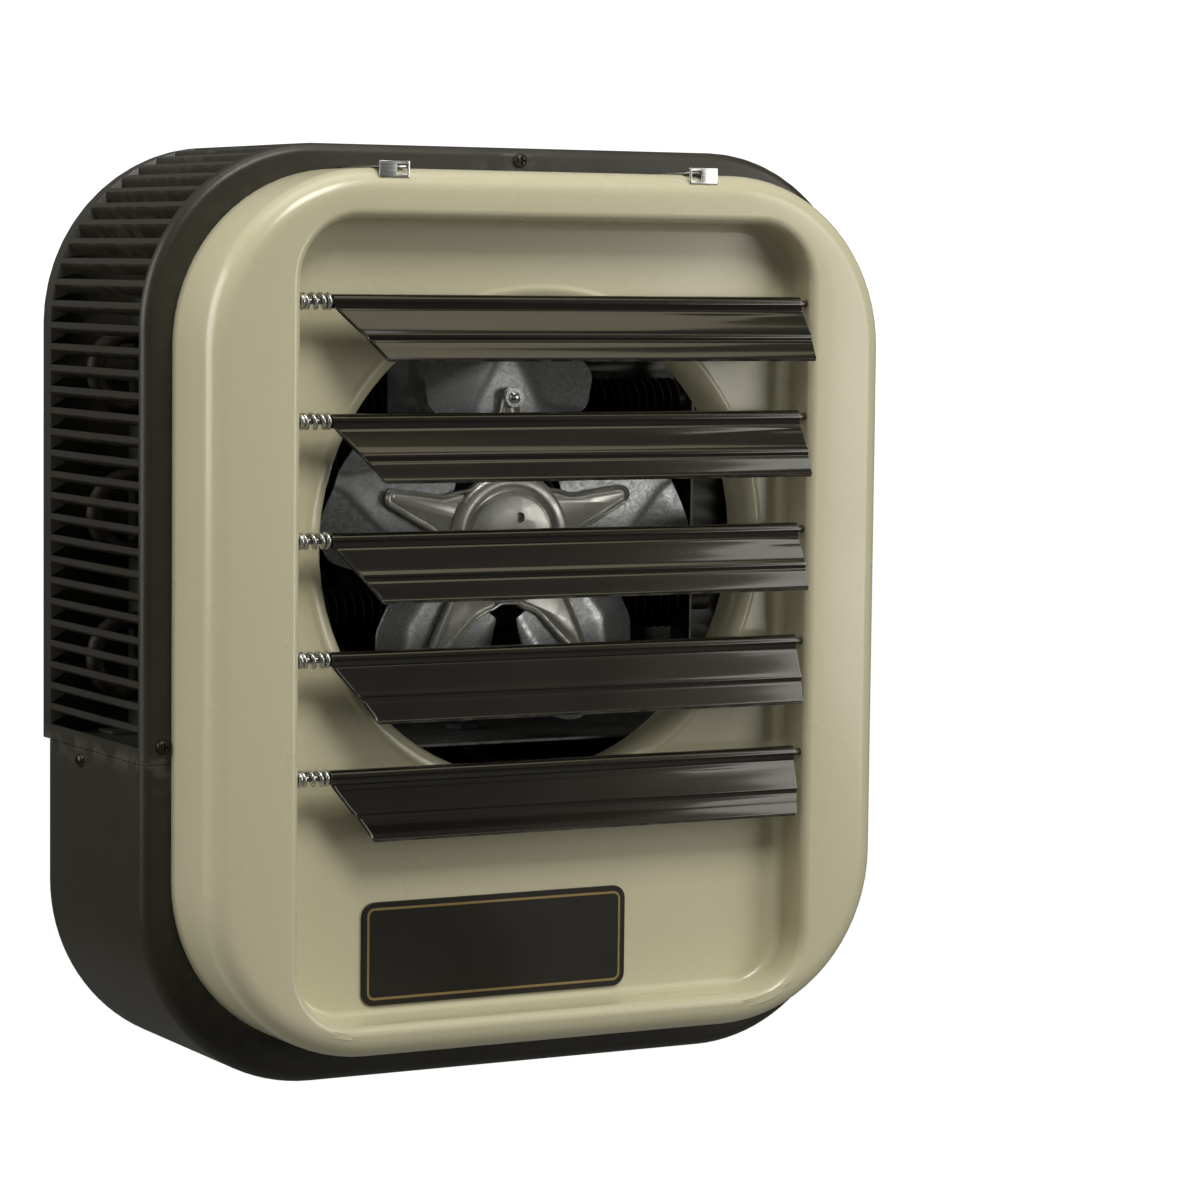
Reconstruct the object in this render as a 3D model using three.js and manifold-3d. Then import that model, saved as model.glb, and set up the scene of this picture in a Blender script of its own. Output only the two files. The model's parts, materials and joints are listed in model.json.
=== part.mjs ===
// Ceiling mounted fan heater: a slotted bronze casing hung by its top face, a deep drawn cream front
// panel with five adjustable louvres, a five-blade fan, its motor, finned elements and wiring bay.
// Millimetres. The origin is the middle of the casing's top face; the heater hangs below it (-Z)
// and blows forwards (-Y). X runs to the right of someone facing the panel.
import * as THREE from "three";
import { mergeVertices } from "three/addons/utils/BufferGeometryUtils.js";
import Module from "manifold-3d";

// ---------------------------------------------------------------- driving dimensions
const SEAT_GAP = 0.3; // left between pieces that touch
const SHEET = 1.2; // sheet steel of the casing, panel and plates

const CASING = { width: 356, depth: 118, corner: 80 };
const WIRING_BAY_HEIGHT = 143; // seam down to the underside
const FLANGE_WIDTH = 24; // front flange, outer edge to opening
const REAR_RIM_WIDTH = 9;
const LOWER_REAR_STEP = 8; // the lower wrap ends this far short of the rear

const CORNER_SLOTS = 13;
const SIDE_SLOTS = 19;
const SLOT_BAR = 2.6; // metal left between two slots
const SLOT_FOOT = 5.6; // plain strip above the seam
const SLOT_END_FRONT = 5;
const SLOT_END_REAR = 11;

const FLANGE_SHOWING = { side: 13, top: 11, bottom: 16.5 }; // round the panel
const PANEL_CORNER_EASE = 4; // the panel's corner is this much tighter than the casing's
const PANEL_DEPTH = 42;
const PANEL_EDGE_RADIUS = 10;
const PANEL_RIM = { left: 41.4, right: 38.8, top: 21, bottom: 14.4 }; // panel's edge to its recess
const RECESS_CORNER = 27;
const RECESS_DEPTH = 20;
const RECESS_LIP_RADIUS = 4;
const RECESS_FILLET = 4;
const RECESS_DRAFT = 0.5;
const OUTLET_MARGIN = { side: 20.9, top: 36.5 }; // recess wall to the outlet's throat
const OUTLET_LIP = 7;

const LOUVRE_TILTS = [29, 24, 21, 13, 5]; // degrees, top one first; lower edge swung forwards
const LOUVRES = LOUVRE_TILTS.length;
const LOUVRE_OUTSET = { top: 1.1, bottom: -7.1 }; // first and last pivot, beyond the outlet's throat
const LOUVRE_BEHIND_RIM = 5.5; // pivot, behind the panel's front plane
const LOUVRE_SHEET = 0.9;
const LOUVRE_CHORD = 29;
const LOUVRE_STEP = { drop: 16.6, depth: 1 }; // pressed step along the web
const LOUVRE_END_GAP = 2;
const LOUVRE_SLANT = 19.5; // sideways run of the slanted left end
const LOUVRE_TOP_EDGE = 3.4; // below the pivot, where the slant starts
const ROD_RADIUS = 1.4;
const ROD_CLEARANCE = 0.35;
const ROD_OVERHANG = 2.3;

const SPRING_LENGTH = 15.6; // recess wall to the louvre's end
const SPRING_COILS = 5;
const SPRING_WIRE = 1.5;
const SPRING_ROD_ROOM = 0.6;
const SPRING_STEPS = 8;
const SPRING_SIDES = 5;

const FAN_BLADES = 5;
const FAN_IN_THROAT = 16.5; // blade tip inside the outlet's throat
const FAN_ABOVE_SEAM = 5; // lowest blade tip above the seam
const FAN_BEHIND_FLANGE = 7; // spider's front face, behind the flange's front face
const SPIDER_SHEET = 1.5;
const SPIDER_SHORT_OF_TIP = 23.5;
const SPIDER_ARM_WIDTH = 18;
const SPIDER_WAIST_RADIUS = 30;
const BLADE_SHEET = 1;
const BLADE_ROOT_RADIUS = 34;
const BLADE_HALF_CHORD = 36;
const BLADE_PAD_HALF_WIDTH = 0.625 * SPIDER_ARM_WIDTH + 2; // flat where the arm lies
const BLADE_RISE = -0.48; // rearward travel of the blade for each millimetre to its right
const HUB_RADIUS = 12;
const HUB_LENGTH = 18;
const SHAFT_RADIUS = 4;
const SHAFT_LENGTH = 46;
const SHAFT_BEFORE_SPIDER = 3;
const RUNNING_CLEARANCE = 0.3;

const MOTOR_RADIUS = 44;
const MOTOR_LENGTH = 46;
const MOTOR_BEHIND_HUB = 2.5;
const MOTOR_BOSS_RADIUS = 13;
const MOTOR_BOSS_LENGTH = 4;
const MOTOR_EDGE = 5; // rounded rims of the can
const MOTOR_STRAP_WIDTH = 50;
const MOTOR_STRAP_SHEET = 1.6;
const MOTOR_STRAP_FOOT = 26;

const ELEMENTS = 3;
const ELEMENT_TUBE_RADIUS = 4;
const ELEMENT_FIN_RADIUS = 12;
const ELEMENT_FIN_SHEET = 1.4;
const ELEMENT_FINS = 7; // on each straight run
const ELEMENT_FIRST_DROP = 84;
const ELEMENT_ABOVE_SHELF = 18.3; // lowest run's centre line
const ELEMENT_FRONT_OF_REAR = 21;
const ELEMENT_END_ROOM = 38; // each bracket to the casing's side
const ELEMENT_PIN = 14;
const ELEMENT_BRACKET = { halfDepth: 9, foot: 16, aboveFirstRun: 16 };

const SCREW_HEAD_RADIUS = 3.2;
const SCREW_HEAD_HEIGHT = 2;
const SCREW_RADIUS = 1.6;
const SCREW_LENGTH = 5.5;
const SCREW_HOLE_RADIUS = 2.2;

const TOP_SCREW_DROP = 5.6;
const FLANGE_SCREW = { besidePanel: 0.6, aboveSeam: 7.6 };
const SIDE_SCREW = { beforeRear: 47.5, belowSeam: 5.4 };
const REAR_SCREW = { inset: 5, belowCorner: 15, aboveSeam: 30 };
const COVER_SCREW_BELOW_SEAM = 35;
const PANEL_SCREW = { x: 60, beforeFlange: 13 };
const PANEL_TAB = { halfWidth: 10, beyondScrew: 8 };

const HANGER_SPACING = 152;
const HANGER_NUT = { acrossCorners: 15, height: 6.5, boreRadius: 4.2 };
const CLIP_FROM_CORNERS = { left: 8.3, right: 18.8 }; // clip centres, in from the ends of the flat
const CLIP = { width: 14.2, above: 3, below: 4, sheet: 0.8, window: 5, frame: 1.3 };
const PLATE = { width: 130, height: 45.3, sheet: 1, corner: 6, centreX: -20.6, aboveRecessFoot: 27.7 };
const INTAKE = { firstDrop: 70, pitch: 18, aboveShelf: 14, column: 76, length: 64, height: 7 };
const SHELF_ABOVE_SEAM = 2.7;
const SHELF_SIDE_DEPTH = 15; // turned-down sides, below the seam
const SHELF_EAR = { width: 20, aboveScrew: 7 };
const ENTRY = { x: -90, belowSeam: 70, radius: 11.2 }; // supply entry hole in the wiring cover
const BUSH = { boreRadius: 7.5, flange: 2.2, lip: 3, inside: 5 };
const LEAD_RADIUS = 3;
const LEAD_BEHIND_MOTOR_FACE = 22;
const GROMMET = { wall: 3, lip: 2, halfLength: 4 };
const CONTACTOR = { x: 62, behindLead: 8, width: 56, depth: 48, height: 52, baseHeight: 28.6 };
const TERMINALS = { x: -78, width: 84, depth: 30, height: 24, ways: 5, floor: 12 };
const LIMIT_SWITCH = { x: 120, behindFlange: 45, radius: 12, height: 14 };

// ---------------------------------------------------------------- places worked out from them
const frontY = -CASING.depth / 2;
const rearY = CASING.depth / 2;
const lowerRearY = rearY - LOWER_REAR_STEP;
const halfWidth = CASING.width / 2;
const panelHalfWidth = halfWidth - FLANGE_SHOWING.side;
const recessLeft = -panelHalfWidth + PANEL_RIM.left;
const recessRight = panelHalfWidth - PANEL_RIM.right;
const recessHalfWidth = (recessRight - recessLeft) / 2;
const outletRadius = recessHalfWidth - OUTLET_MARGIN.side;
const fanRadius = outletRadius - FAN_IN_THROAT;
const recessTop = -FLANGE_SHOWING.top - PANEL_RIM.top;
const fanZ = recessTop - OUTLET_MARGIN.top - outletRadius;
const seamZ = fanZ - fanRadius - FAN_ABOVE_SEAM;
const underside = seamZ - WIRING_BAY_HEIGHT;
const casingOutline = { halfWidth, top: 0, bottom: underside, corner: CASING.corner };
const panelOutline = {
  centreX: 0,
  halfWidth: panelHalfWidth,
  top: -FLANGE_SHOWING.top,
  bottom: underside + FLANGE_SHOWING.bottom,
  corner: CASING.corner - PANEL_CORNER_EASE,
};
const recessOutline = {
  centreX: (recessLeft + recessRight) / 2,
  halfWidth: recessHalfWidth,
  top: recessTop,
  bottom: panelOutline.bottom + PANEL_RIM.bottom,
  corner: RECESS_CORNER,
};
const panelFrontY = frontY - PANEL_DEPTH;
const fieldY = panelFrontY + RECESS_DEPTH;
const pivotY = panelFrontY + LOUVRE_BEHIND_RIM;
const firstLouvreZ = fanZ + outletRadius + LOUVRE_OUTSET.top;
const louvrePitch = (2 * outletRadius + LOUVRE_OUTSET.top + LOUVRE_OUTSET.bottom) / (LOUVRES - 1);
const louvreLeft = recessLeft + SPRING_LENGTH;
const louvreRight = recessRight - LOUVRE_END_GAP;
const shelfTop = seamZ + SHELF_ABOVE_SEAM;
const shelfUnder = shelfTop - SHEET;
const spiderFrontY = frontY + FAN_BEHIND_FLANGE;
const spiderBackY = spiderFrontY + SPIDER_SHEET;
const hubBackY = spiderBackY + SEAT_GAP + HUB_LENGTH;
const motorFrontY = hubBackY + MOTOR_BEHIND_HUB;
const motorBackY = motorFrontY + MOTOR_BOSS_LENGTH + MOTOR_LENGTH;
const elementY = rearY - ELEMENT_FRONT_OF_REAR;
const rearPanelBackY = rearY - SHEET - SEAT_GAP;
const coverBackY = lowerRearY - SHEET - SEAT_GAP;
const shelfRearY = rearPanelBackY - SHEET - SEAT_GAP;
const innerHalfWidth = halfWidth - SHEET - SEAT_GAP;
const shaftFrontY = spiderFrontY - SHAFT_BEFORE_SPIDER;
const leadY = motorFrontY + LEAD_BEHIND_MOTOR_FACE;
const wiringY = leadY + CONTACTOR.behindLead;
const elementHalfSpan = halfWidth - ELEMENT_END_ROOM;
const elementRunPitch = (-ELEMENT_FIRST_DROP - ELEMENT_ABOVE_SHELF - shelfTop) / (2 * ELEMENTS - 1);

// ---------------------------------------------------------------- solids
const wasm = await Module();
wasm.setup();

function material(color, roughness, metalness) {
  return new THREE.MeshStandardMaterial({ color, roughness, metalness });
}
const BRONZE = material(0x39352b, 0.45, 0.3);
const CREAM = material(0xc9c5ab, 0.4, 0);
const LOUVRE_BRONZE = material(0x4a453a, 0.32, 0.5);
const ZINC = material(0xc4c6c8, 0.25, 0.9);
const GALVANISED = material(0x9fa3a3, 0.4, 0.85);
const MOTOR_BLACK = material(0x1c1c1c, 0.5, 0.3);
const ELEMENT_STEEL = material(0x4b4641, 0.5, 0.7);
const BLACK_PLASTIC = material(0x141414, 0.5, 0);
const PLATE_BLACK = material(0x1a1713, 0.4, 0);

/** A closed geometry as a solid that can be joined and cut. */
function solidOf(geometry) {
  const bare = geometry.clone();
  bare.deleteAttribute("normal");
  bare.deleteAttribute("uv");
  const merged = mergeVertices(bare, 1e-4);
  return new wasm.Manifold(
    new wasm.Mesh({
      numProp: 3,
      vertProperties: new Float32Array(merged.attributes.position.array),
      triVerts: new Uint32Array(merged.index.array),
    }),
  );
}

function geometryOf(solid) {
  const mesh = solid.getMesh();
  const geometry = new THREE.BufferGeometry();
  geometry.setAttribute("position", new THREE.BufferAttribute(mesh.vertProperties, 3));
  geometry.setIndex(new THREE.BufferAttribute(mesh.triVerts, 1));
  geometry.computeVertexNormals();
  return geometry;
}

function cut(base, tools) {
  return geometryOf(tools.reduce((rest, tool) => rest.subtract(solidOf(tool)), solidOf(base)));
}

function join(pieces) {
  return geometryOf(pieces.map(solidOf).reduce((whole, piece) => whole.add(piece)));
}

/** An outline in (x, z) given thickness from yFront back to yBack. */
function alongY(points, yFront, yBack) {
  const shape = new THREE.Shape(points);
  const body = new THREE.ExtrudeGeometry(shape, { depth: yBack - yFront, bevelEnabled: false });
  return body.rotateX(Math.PI / 2).translate(0, yBack, 0);
}

/** An outline in (y, z) given thickness from xLeft to xRight. */
function alongX(points, xLeft, xRight) {
  const shape = new THREE.Shape(points);
  const body = new THREE.ExtrudeGeometry(shape, { depth: xRight - xLeft, bevelEnabled: false });
  const turn = new THREE.Matrix4().makeBasis(
    new THREE.Vector3(0, 1, 0),
    new THREE.Vector3(0, 0, 1),
    new THREE.Vector3(1, 0, 0),
  );
  return body.applyMatrix4(turn).translate(xLeft, 0, 0);
}

function block(xLow, xHigh, yLow, yHigh, zLow, zHigh) {
  const body = new THREE.BoxGeometry(xHigh - xLow, yHigh - yLow, zHigh - zLow);
  return body.translate((xLow + xHigh) / 2, (yLow + yHigh) / 2, (zLow + zHigh) / 2);
}

/** A round bar along Y, X or Z from one value to another. */
function bar(axis, radius, from, to, sides = 8) {
  const body = new THREE.CylinderGeometry(radius, radius, to - from, sides);
  body.translate(0, (from + to) / 2, 0);
  if (axis === "x") body.rotateZ(-Math.PI / 2);
  if (axis === "z") body.rotateX(Math.PI / 2);
  return body;
}

/** A profile of (radius, height) turned round Y; the profile runs up the outside. */
function turned(profile, sides) {
  const points = profile.map(([radius, height]) => new THREE.Vector2(radius, height));
  return new THREE.LatheGeometry(points, sides);
}

/** A rounded rectangle, anticlockwise, drawn in by inset; its side and flat edges may be divided. */
function roundedOutline(box, inset, cornerSteps, sideSteps = 1, flatSteps = 1) {
  const corner = Math.max(box.corner - inset, 0.5);
  const right = box.halfWidth - inset - corner;
  const high = box.top - inset - corner;
  const low = box.bottom + inset + corner;
  const centres = [
    [right, low],
    [right, high],
    [-right, high],
    [-right, low],
  ];
  const points = [];
  centres.forEach(([x, z], quarter) => {
    for (let step = 0; step <= cornerSteps; step += 1) {
      const angle = ((quarter - 1 + step / cornerSteps) * Math.PI) / 2;
      points.push(new THREE.Vector2(x + corner * Math.cos(angle), z + corner * Math.sin(angle)));
    }
    const next = centres[(quarter + 1) % 4];
    const end = (quarter * Math.PI) / 2;
    const start = points[points.length - 1];
    const goal = new THREE.Vector2(
      next[0] + corner * Math.cos(end),
      next[1] + corner * Math.sin(end),
    );
    const steps = quarter % 2 ? flatSteps : sideSteps;
    for (let step = 1; step < steps; step += 1) {
      points.push(start.clone().lerp(goal, step / steps));
    }
  });
  return points;
}

/** The outline of a bent sheet that follows a line of points. */
function sheetOutline(line, sheet) {
  const points = line.map(([a, b]) => new THREE.Vector2(a, b));
  const left = [];
  const right = [];
  points.forEach((point, index) => {
    const before = points[Math.max(index - 1, 0)];
    const after = points[Math.min(index + 1, points.length - 1)];
    const into = index ? point.clone().sub(before).normalize() : after.clone().sub(point).normalize();
    const out = index < points.length - 1 ? after.clone().sub(point).normalize() : into.clone();
    const along = into.clone().add(out).normalize();
    const normal = new THREE.Vector2(-along.y, along.x);
    const reach = sheet / 2 / Math.max(along.dot(into), 0.3);
    left.push(point.clone().addScaledVector(normal, reach));
    right.unshift(point.clone().addScaledVector(normal, -reach));
  });
  return [...right, ...left];
}

/** A tube's section, for extruding along its path. */
function roundSection(radius, sides) {
  const points = Array.from({ length: sides }, (_, side) => {
    const angle = ((side + 0.5) / sides) * 2 * Math.PI;
    return new THREE.Vector2(Math.cos(angle), Math.sin(angle)).multiplyScalar(radius);
  });
  return new THREE.Shape(points);
}

/** Faces a closed geometry's triangles outwards. */
function facingOut(geometry) {
  const position = geometry.attributes.position;
  const index = geometry.index.array;
  const corner = [new THREE.Vector3(), new THREE.Vector3(), new THREE.Vector3()];
  let volume = 0;
  for (let i = 0; i < index.length; i += 3) {
    corner.forEach((point, side) => point.fromBufferAttribute(position, index[i + side]));
    volume += corner[0].dot(corner[1].clone().cross(corner[2]));
  }
  if (volume < 0) {
    for (let i = 0; i < index.length; i += 3) {
      [index[i + 1], index[i + 2]] = [index[i + 2], index[i + 1]];
    }
  }
  geometry.computeVertexNormals();
  return geometry;
}

/** Skins rings of equal count. Closed rings of rings make a hollow frame; open ones get end caps. */
function ringBody(rings, closed) {
  const count = rings[0].length;
  const positions = rings.flat().flatMap((point) => [point.x, point.y, point.z]);
  const index = [];
  const spans = closed ? rings.length : rings.length - 1;
  for (let ring = 0; ring < spans; ring += 1) {
    const next = (ring + 1) % rings.length;
    for (let side = 0; side < count; side += 1) {
      const turn = (side + 1) % count;
      const [a, b] = [ring * count + side, ring * count + turn];
      const [c, d] = [next * count + side, next * count + turn];
      index.push(a, b, c, b, d, c);
    }
  }
  if (!closed) {
    const last = (rings.length - 1) * count;
    for (let side = 1; side < count - 1; side += 1) {
      index.push(0, side + 1, side, last, last + side, last + side + 1);
    }
  }
  const geometry = new THREE.BufferGeometry();
  geometry.setAttribute("position", new THREE.Float32BufferAttribute(positions, 3));
  geometry.setIndex(index);
  return facingOut(geometry);
}

const heater = new THREE.Group();

function add(name, geometry, finish, parent = heater) {
  const mesh = new THREE.Mesh(geometry, finish);
  mesh.name = name;
  parent.add(mesh);
  return mesh;
}

// ---------------------------------------------------------------- screws
const flangeScrew = {
  x: panelHalfWidth + SCREW_HEAD_RADIUS + FLANGE_SCREW.besidePanel,
  z: seamZ + FLANGE_SCREW.aboveSeam,
};
const sideScrew = { y: rearY - SIDE_SCREW.beforeRear, z: seamZ - SIDE_SCREW.belowSeam };
const rearScrewX = halfWidth - REAR_SCREW.inset;
const rearScrewHeights = [-CASING.corner - REAR_SCREW.belowCorner, seamZ + REAR_SCREW.aboveSeam];
const rearScrews = [-1, 1].flatMap((side) => rearScrewHeights.map((z) => ({ x: side * rearScrewX, z })));
const coverScrewZ = seamZ - COVER_SCREW_BELOW_SEAM;
const coverScrews = [-1, 1].map((side) => ({ x: side * rearScrewX, z: coverScrewZ }));
const panelScrewY = frontY - PANEL_SCREW.beforeFlange;

/** A pan head screw whose head seats at the origin and whose shank runs to +Y. */
function screwBody() {
  return turned(
    [
      [0, -SEAT_GAP - SCREW_HEAD_HEIGHT],
      [SCREW_HEAD_RADIUS * 0.7, -SEAT_GAP - SCREW_HEAD_HEIGHT * 0.85],
      [SCREW_HEAD_RADIUS, -SEAT_GAP],
      [SCREW_RADIUS, -SEAT_GAP],
      [SCREW_RADIUS, SCREW_LENGTH - 1],
      [0, SCREW_LENGTH],
    ],
    8,
  );
}

function screwHole(axis, from, to, x, y, z) {
  return bar(axis, SCREW_HOLE_RADIUS, from, to).translate(x, y, z);
}

function addScrews() {
  const place = (name, x, y, z, turn = {}) => {
    const screw = add(name, screwBody(), MOTOR_BLACK);
    screw.position.set(x, y, z);
    screw.rotation.set(turn.x ?? 0, 0, turn.z ?? 0);
  };
  place("casing_screw_top", 0, frontY, -TOP_SCREW_DROP);
  place("casing_screw_left", -flangeScrew.x, frontY, flangeScrew.z);
  place("casing_screw_right", flangeScrew.x, frontY, flangeScrew.z);
  place("side_screw_left", -halfWidth, sideScrew.y, sideScrew.z, { z: -Math.PI / 2 });
  place("side_screw_right", halfWidth, sideScrew.y, sideScrew.z, { z: Math.PI / 2 });
  place("panel_screw_left", -PANEL_SCREW.x, panelScrewY, panelOutline.bottom, { x: Math.PI / 2 });
  place("panel_screw_right", PANEL_SCREW.x, panelScrewY, panelOutline.bottom, { x: Math.PI / 2 });
  rearScrews.forEach(({ x, z }, index) => {
    place(`rear_screw_${index + 1}`, x, rearY, z, { x: Math.PI });
  });
  coverScrews.forEach(({ x, z }, index) => {
    place(`cover_screw_${index + 1}`, x, lowerRearY, z, { x: Math.PI });
  });
}

// ---------------------------------------------------------------- casing
/** A wrap of sheet with a front flange and a rear rim, as deep as asked, between two heights. */
function wrap(yBack, zLow, zHigh) {
  const outline = (inset) => roundedOutline(casingOutline, inset, CORNER_SLOTS);
  const shell = solidOf(alongY(outline(0), frontY, yBack))
    .subtract(solidOf(alongY(outline(SHEET), frontY + SHEET, yBack - SHEET)))
    .subtract(solidOf(alongY(outline(FLANGE_WIDTH), frontY - 1, frontY + 2 * SHEET)))
    .subtract(solidOf(alongY(outline(REAR_RIM_WIDTH), yBack - 2 * SHEET, yBack + 1)));
  const reach = CASING.width;
  return shell.intersect(solidOf(block(-reach, reach, -reach, reach, zLow, zHigh)));
}

function slotCutters() {
  const [yFront, yBack] = [frontY + SLOT_END_FRONT, rearY - SLOT_END_REAR];
  const middle = (yFront + yBack) / 2;
  const cutter = (height) => new THREE.BoxGeometry(4 * SHEET, yBack - yFront, height);
  const sideLength = -seamZ - SLOT_FOOT - CASING.corner;
  const sidePitch = sideLength / SIDE_SLOTS;
  const facet = Math.PI / 2 / CORNER_SLOTS;
  const facetLength = 2 * CASING.corner * Math.sin(facet / 2);
  const reach = CASING.corner * Math.cos(facet / 2) - SHEET / 2;
  const cutters = [];
  for (const side of [-1, 1]) {
    for (let slot = 0; slot < SIDE_SLOTS; slot += 1) {
      const z = -CASING.corner - (slot + 0.5) * sidePitch;
      cutters.push(cutter(sidePitch - SLOT_BAR).translate(side * (halfWidth - SHEET / 2), middle, z));
    }
    for (let slot = 0; slot < CORNER_SLOTS; slot += 1) {
      const angle = (slot + 0.5) * facet;
      const x = side * (halfWidth - CASING.corner + reach * Math.cos(angle));
      const z = -CASING.corner + reach * Math.sin(angle);
      const box = cutter(facetLength - SLOT_BAR).rotateY(-side * angle);
      cutters.push(box.translate(x, middle, z));
    }
  }
  return cutters;
}

function addCasing() {
  const rim = rearY - 2;
  const upperHoles = [
    screwHole("y", -4, 4, 0, frontY, -TOP_SCREW_DROP),
    screwHole("y", -4, 4, -flangeScrew.x, frontY, flangeScrew.z),
    screwHole("y", -4, 4, flangeScrew.x, frontY, flangeScrew.z),
    ...rearScrews.map(({ x, z }) => screwHole("y", -2, 4, x, rim, z)),
    ...[-1, 1].map((side) =>
      bar("z", HANGER_NUT.boreRadius + SEAT_GAP, -4, 4, 12).translate((side * HANGER_SPACING) / 2, 0, 0),
    ),
  ];
  const hood = geometryOf(wrap(rearY, seamZ + SEAT_GAP / 2, 1));
  add("upper_casing", cut(hood, [...slotCutters(), ...upperHoles]), BRONZE);

  // Two tabs reach forwards over the inside of the panel's lower wall and take its screws.
  const tabTop = panelOutline.bottom + 2 * SHEET + SEAT_GAP;
  const tabFront = panelScrewY - PANEL_TAB.beyondScrew;
  const tabs = [-1, 1].map((side) => {
    const left = side * PANEL_SCREW.x - PANEL_TAB.halfWidth;
    const right = left + 2 * PANEL_TAB.halfWidth;
    return block(left, right, tabFront, frontY + SHEET / 2, tabTop - SHEET, tabTop);
  });
  const tray = geometryOf(wrap(lowerRearY, underside - 1, seamZ - SEAT_GAP / 2));
  const lowerHoles = [
    screwHole("x", -4, 4, -halfWidth, sideScrew.y, sideScrew.z),
    screwHole("x", -4, 4, halfWidth, sideScrew.y, sideScrew.z),
    screwHole("z", -4, 4, -PANEL_SCREW.x, panelScrewY, tabTop),
    screwHole("z", -4, 4, PANEL_SCREW.x, panelScrewY, tabTop),
    ...coverScrews.map(({ x, z }) => screwHole("y", -2, 4, x, lowerRearY - 2, z)),
  ];
  add("lower_casing", cut(join([tray, ...tabs]), lowerHoles), BRONZE);
}

function addRearPanels() {
  const backing = { ...casingOutline, bottom: 2 * underside };
  const inset = SHEET + SEAT_GAP;
  const sheet = (box, yBack) => alongY(roundedOutline(box, inset, 8), yBack - SHEET, yBack);
  const intake = [];
  const lowestIntake = shelfUnder + INTAKE.aboveShelf;
  for (let z = -INTAKE.firstDrop; z > lowestIntake; z -= INTAKE.pitch) {
    for (const x of [-INTAKE.column, 0, INTAKE.column]) {
      const [left, right] = [x - INTAKE.length / 2, x + INTAKE.length / 2];
      intake.push(block(left, right, 0, CASING.depth, z - INTAKE.height / 2, z + INTAKE.height / 2));
    }
  }
  const reach = CASING.width;
  const belowShelf = block(-reach, reach, -reach, reach, 3 * underside, shelfUnder);
  const panelHoles = rearScrews.map(({ x, z }) => screwHole("y", -4, 4, x, rearPanelBackY, z));
  const rear = cut(sheet(backing, rearPanelBackY), [belowShelf, ...intake, ...panelHoles]);
  add("rear_panel", rear, BRONZE);

  const aboveSeam = block(-reach, reach, -reach, reach, seamZ - SEAT_GAP, reach);
  const coverHoles = coverScrews.map(({ x, z }) => screwHole("y", -4, 4, x, coverBackY, z));
  const entryZ = seamZ - ENTRY.belowSeam;
  const entry = bar("y", ENTRY.radius, -4, 4, 16).translate(ENTRY.x, coverBackY, entryZ);
  const cover = cut(sheet(casingOutline, coverBackY), [aboveSeam, ...coverHoles, entry]);
  add("wiring_cover", cover, BRONZE);

  const flangeFront = coverBackY + SEAT_GAP;
  const bushBack = flangeFront + BUSH.flange;
  const bushFront = coverBackY - SHEET - BUSH.inside;
  const neck = ENTRY.radius - 2 * SEAT_GAP;
  const collar = [
    [BUSH.boreRadius, bushFront],
    [neck, bushFront],
    [neck, flangeFront],
    [ENTRY.radius + BUSH.lip, flangeFront],
    [ENTRY.radius + BUSH.lip - 1, bushBack],
    [BUSH.boreRadius, bushBack],
    [BUSH.boreRadius, bushFront],
  ];
  add("supply_bush", turned(collar, 16).translate(ENTRY.x, 0, entryZ), BLACK_PLASTIC);
}

/** The shelf between fan chamber and wiring bay; its turned-down sides carry the lower wrap. */
function addPartition() {
  const side = innerHalfWidth;
  const front = frontY + SHEET + SEAT_GAP;
  const sideBack = coverBackY - SHEET - SEAT_GAP;
  const sideFoot = seamZ - SHELF_SIDE_DEPTH;
  const earTop = flangeScrew.z + SHELF_EAR.aboveScrew;
  const earFoot = shelfTop - SHEET / 2;
  const pieces = [
    block(-side, side, front, shelfRearY, shelfUnder, shelfTop),
    block(-side, -side + SHEET, front, sideBack, sideFoot, shelfTop),
    block(side - SHEET, side, front, sideBack, sideFoot, shelfTop),
    block(-side, -side + SHELF_EAR.width, front, front + SHEET, earFoot, earTop),
    block(side - SHELF_EAR.width, side, front, front + SHEET, earFoot, earTop),
  ];
  const holes = [
    screwHole("y", -4, 4, -flangeScrew.x, front, flangeScrew.z),
    screwHole("y", -4, 4, flangeScrew.x, front, flangeScrew.z),
    screwHole("x", -4, 4, -side, sideScrew.y, sideScrew.z),
    screwHole("x", -4, 4, side, sideScrew.y, sideScrew.z),
    bar("z", LEAD_RADIUS + GROMMET.wall, -4, 4, 12).translate(0, leadY, shelfTop),
  ];
  add("partition_plate", cut(join(pieces), holes), GALVANISED);
}

function addHangerNuts() {
  const { acrossCorners, height, boreRadius } = HANGER_NUT;
  ["left", "right"].forEach((name, index) => {
    const bore = bar("z", boreRadius, -height - 1, 1, 12);
    const nut = cut(bar("z", acrossCorners / 2, -height, 0, 6), [bore]);
    nut.translate((index - 0.5) * HANGER_SPACING, 0, -SHEET - SEAT_GAP);
    add(`hanger_nut_${name}`, nut, ZINC);
  });
}

// ---------------------------------------------------------------- front panel
const QUARTER = [0, Math.PI / 4, Math.PI / 2];

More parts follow.
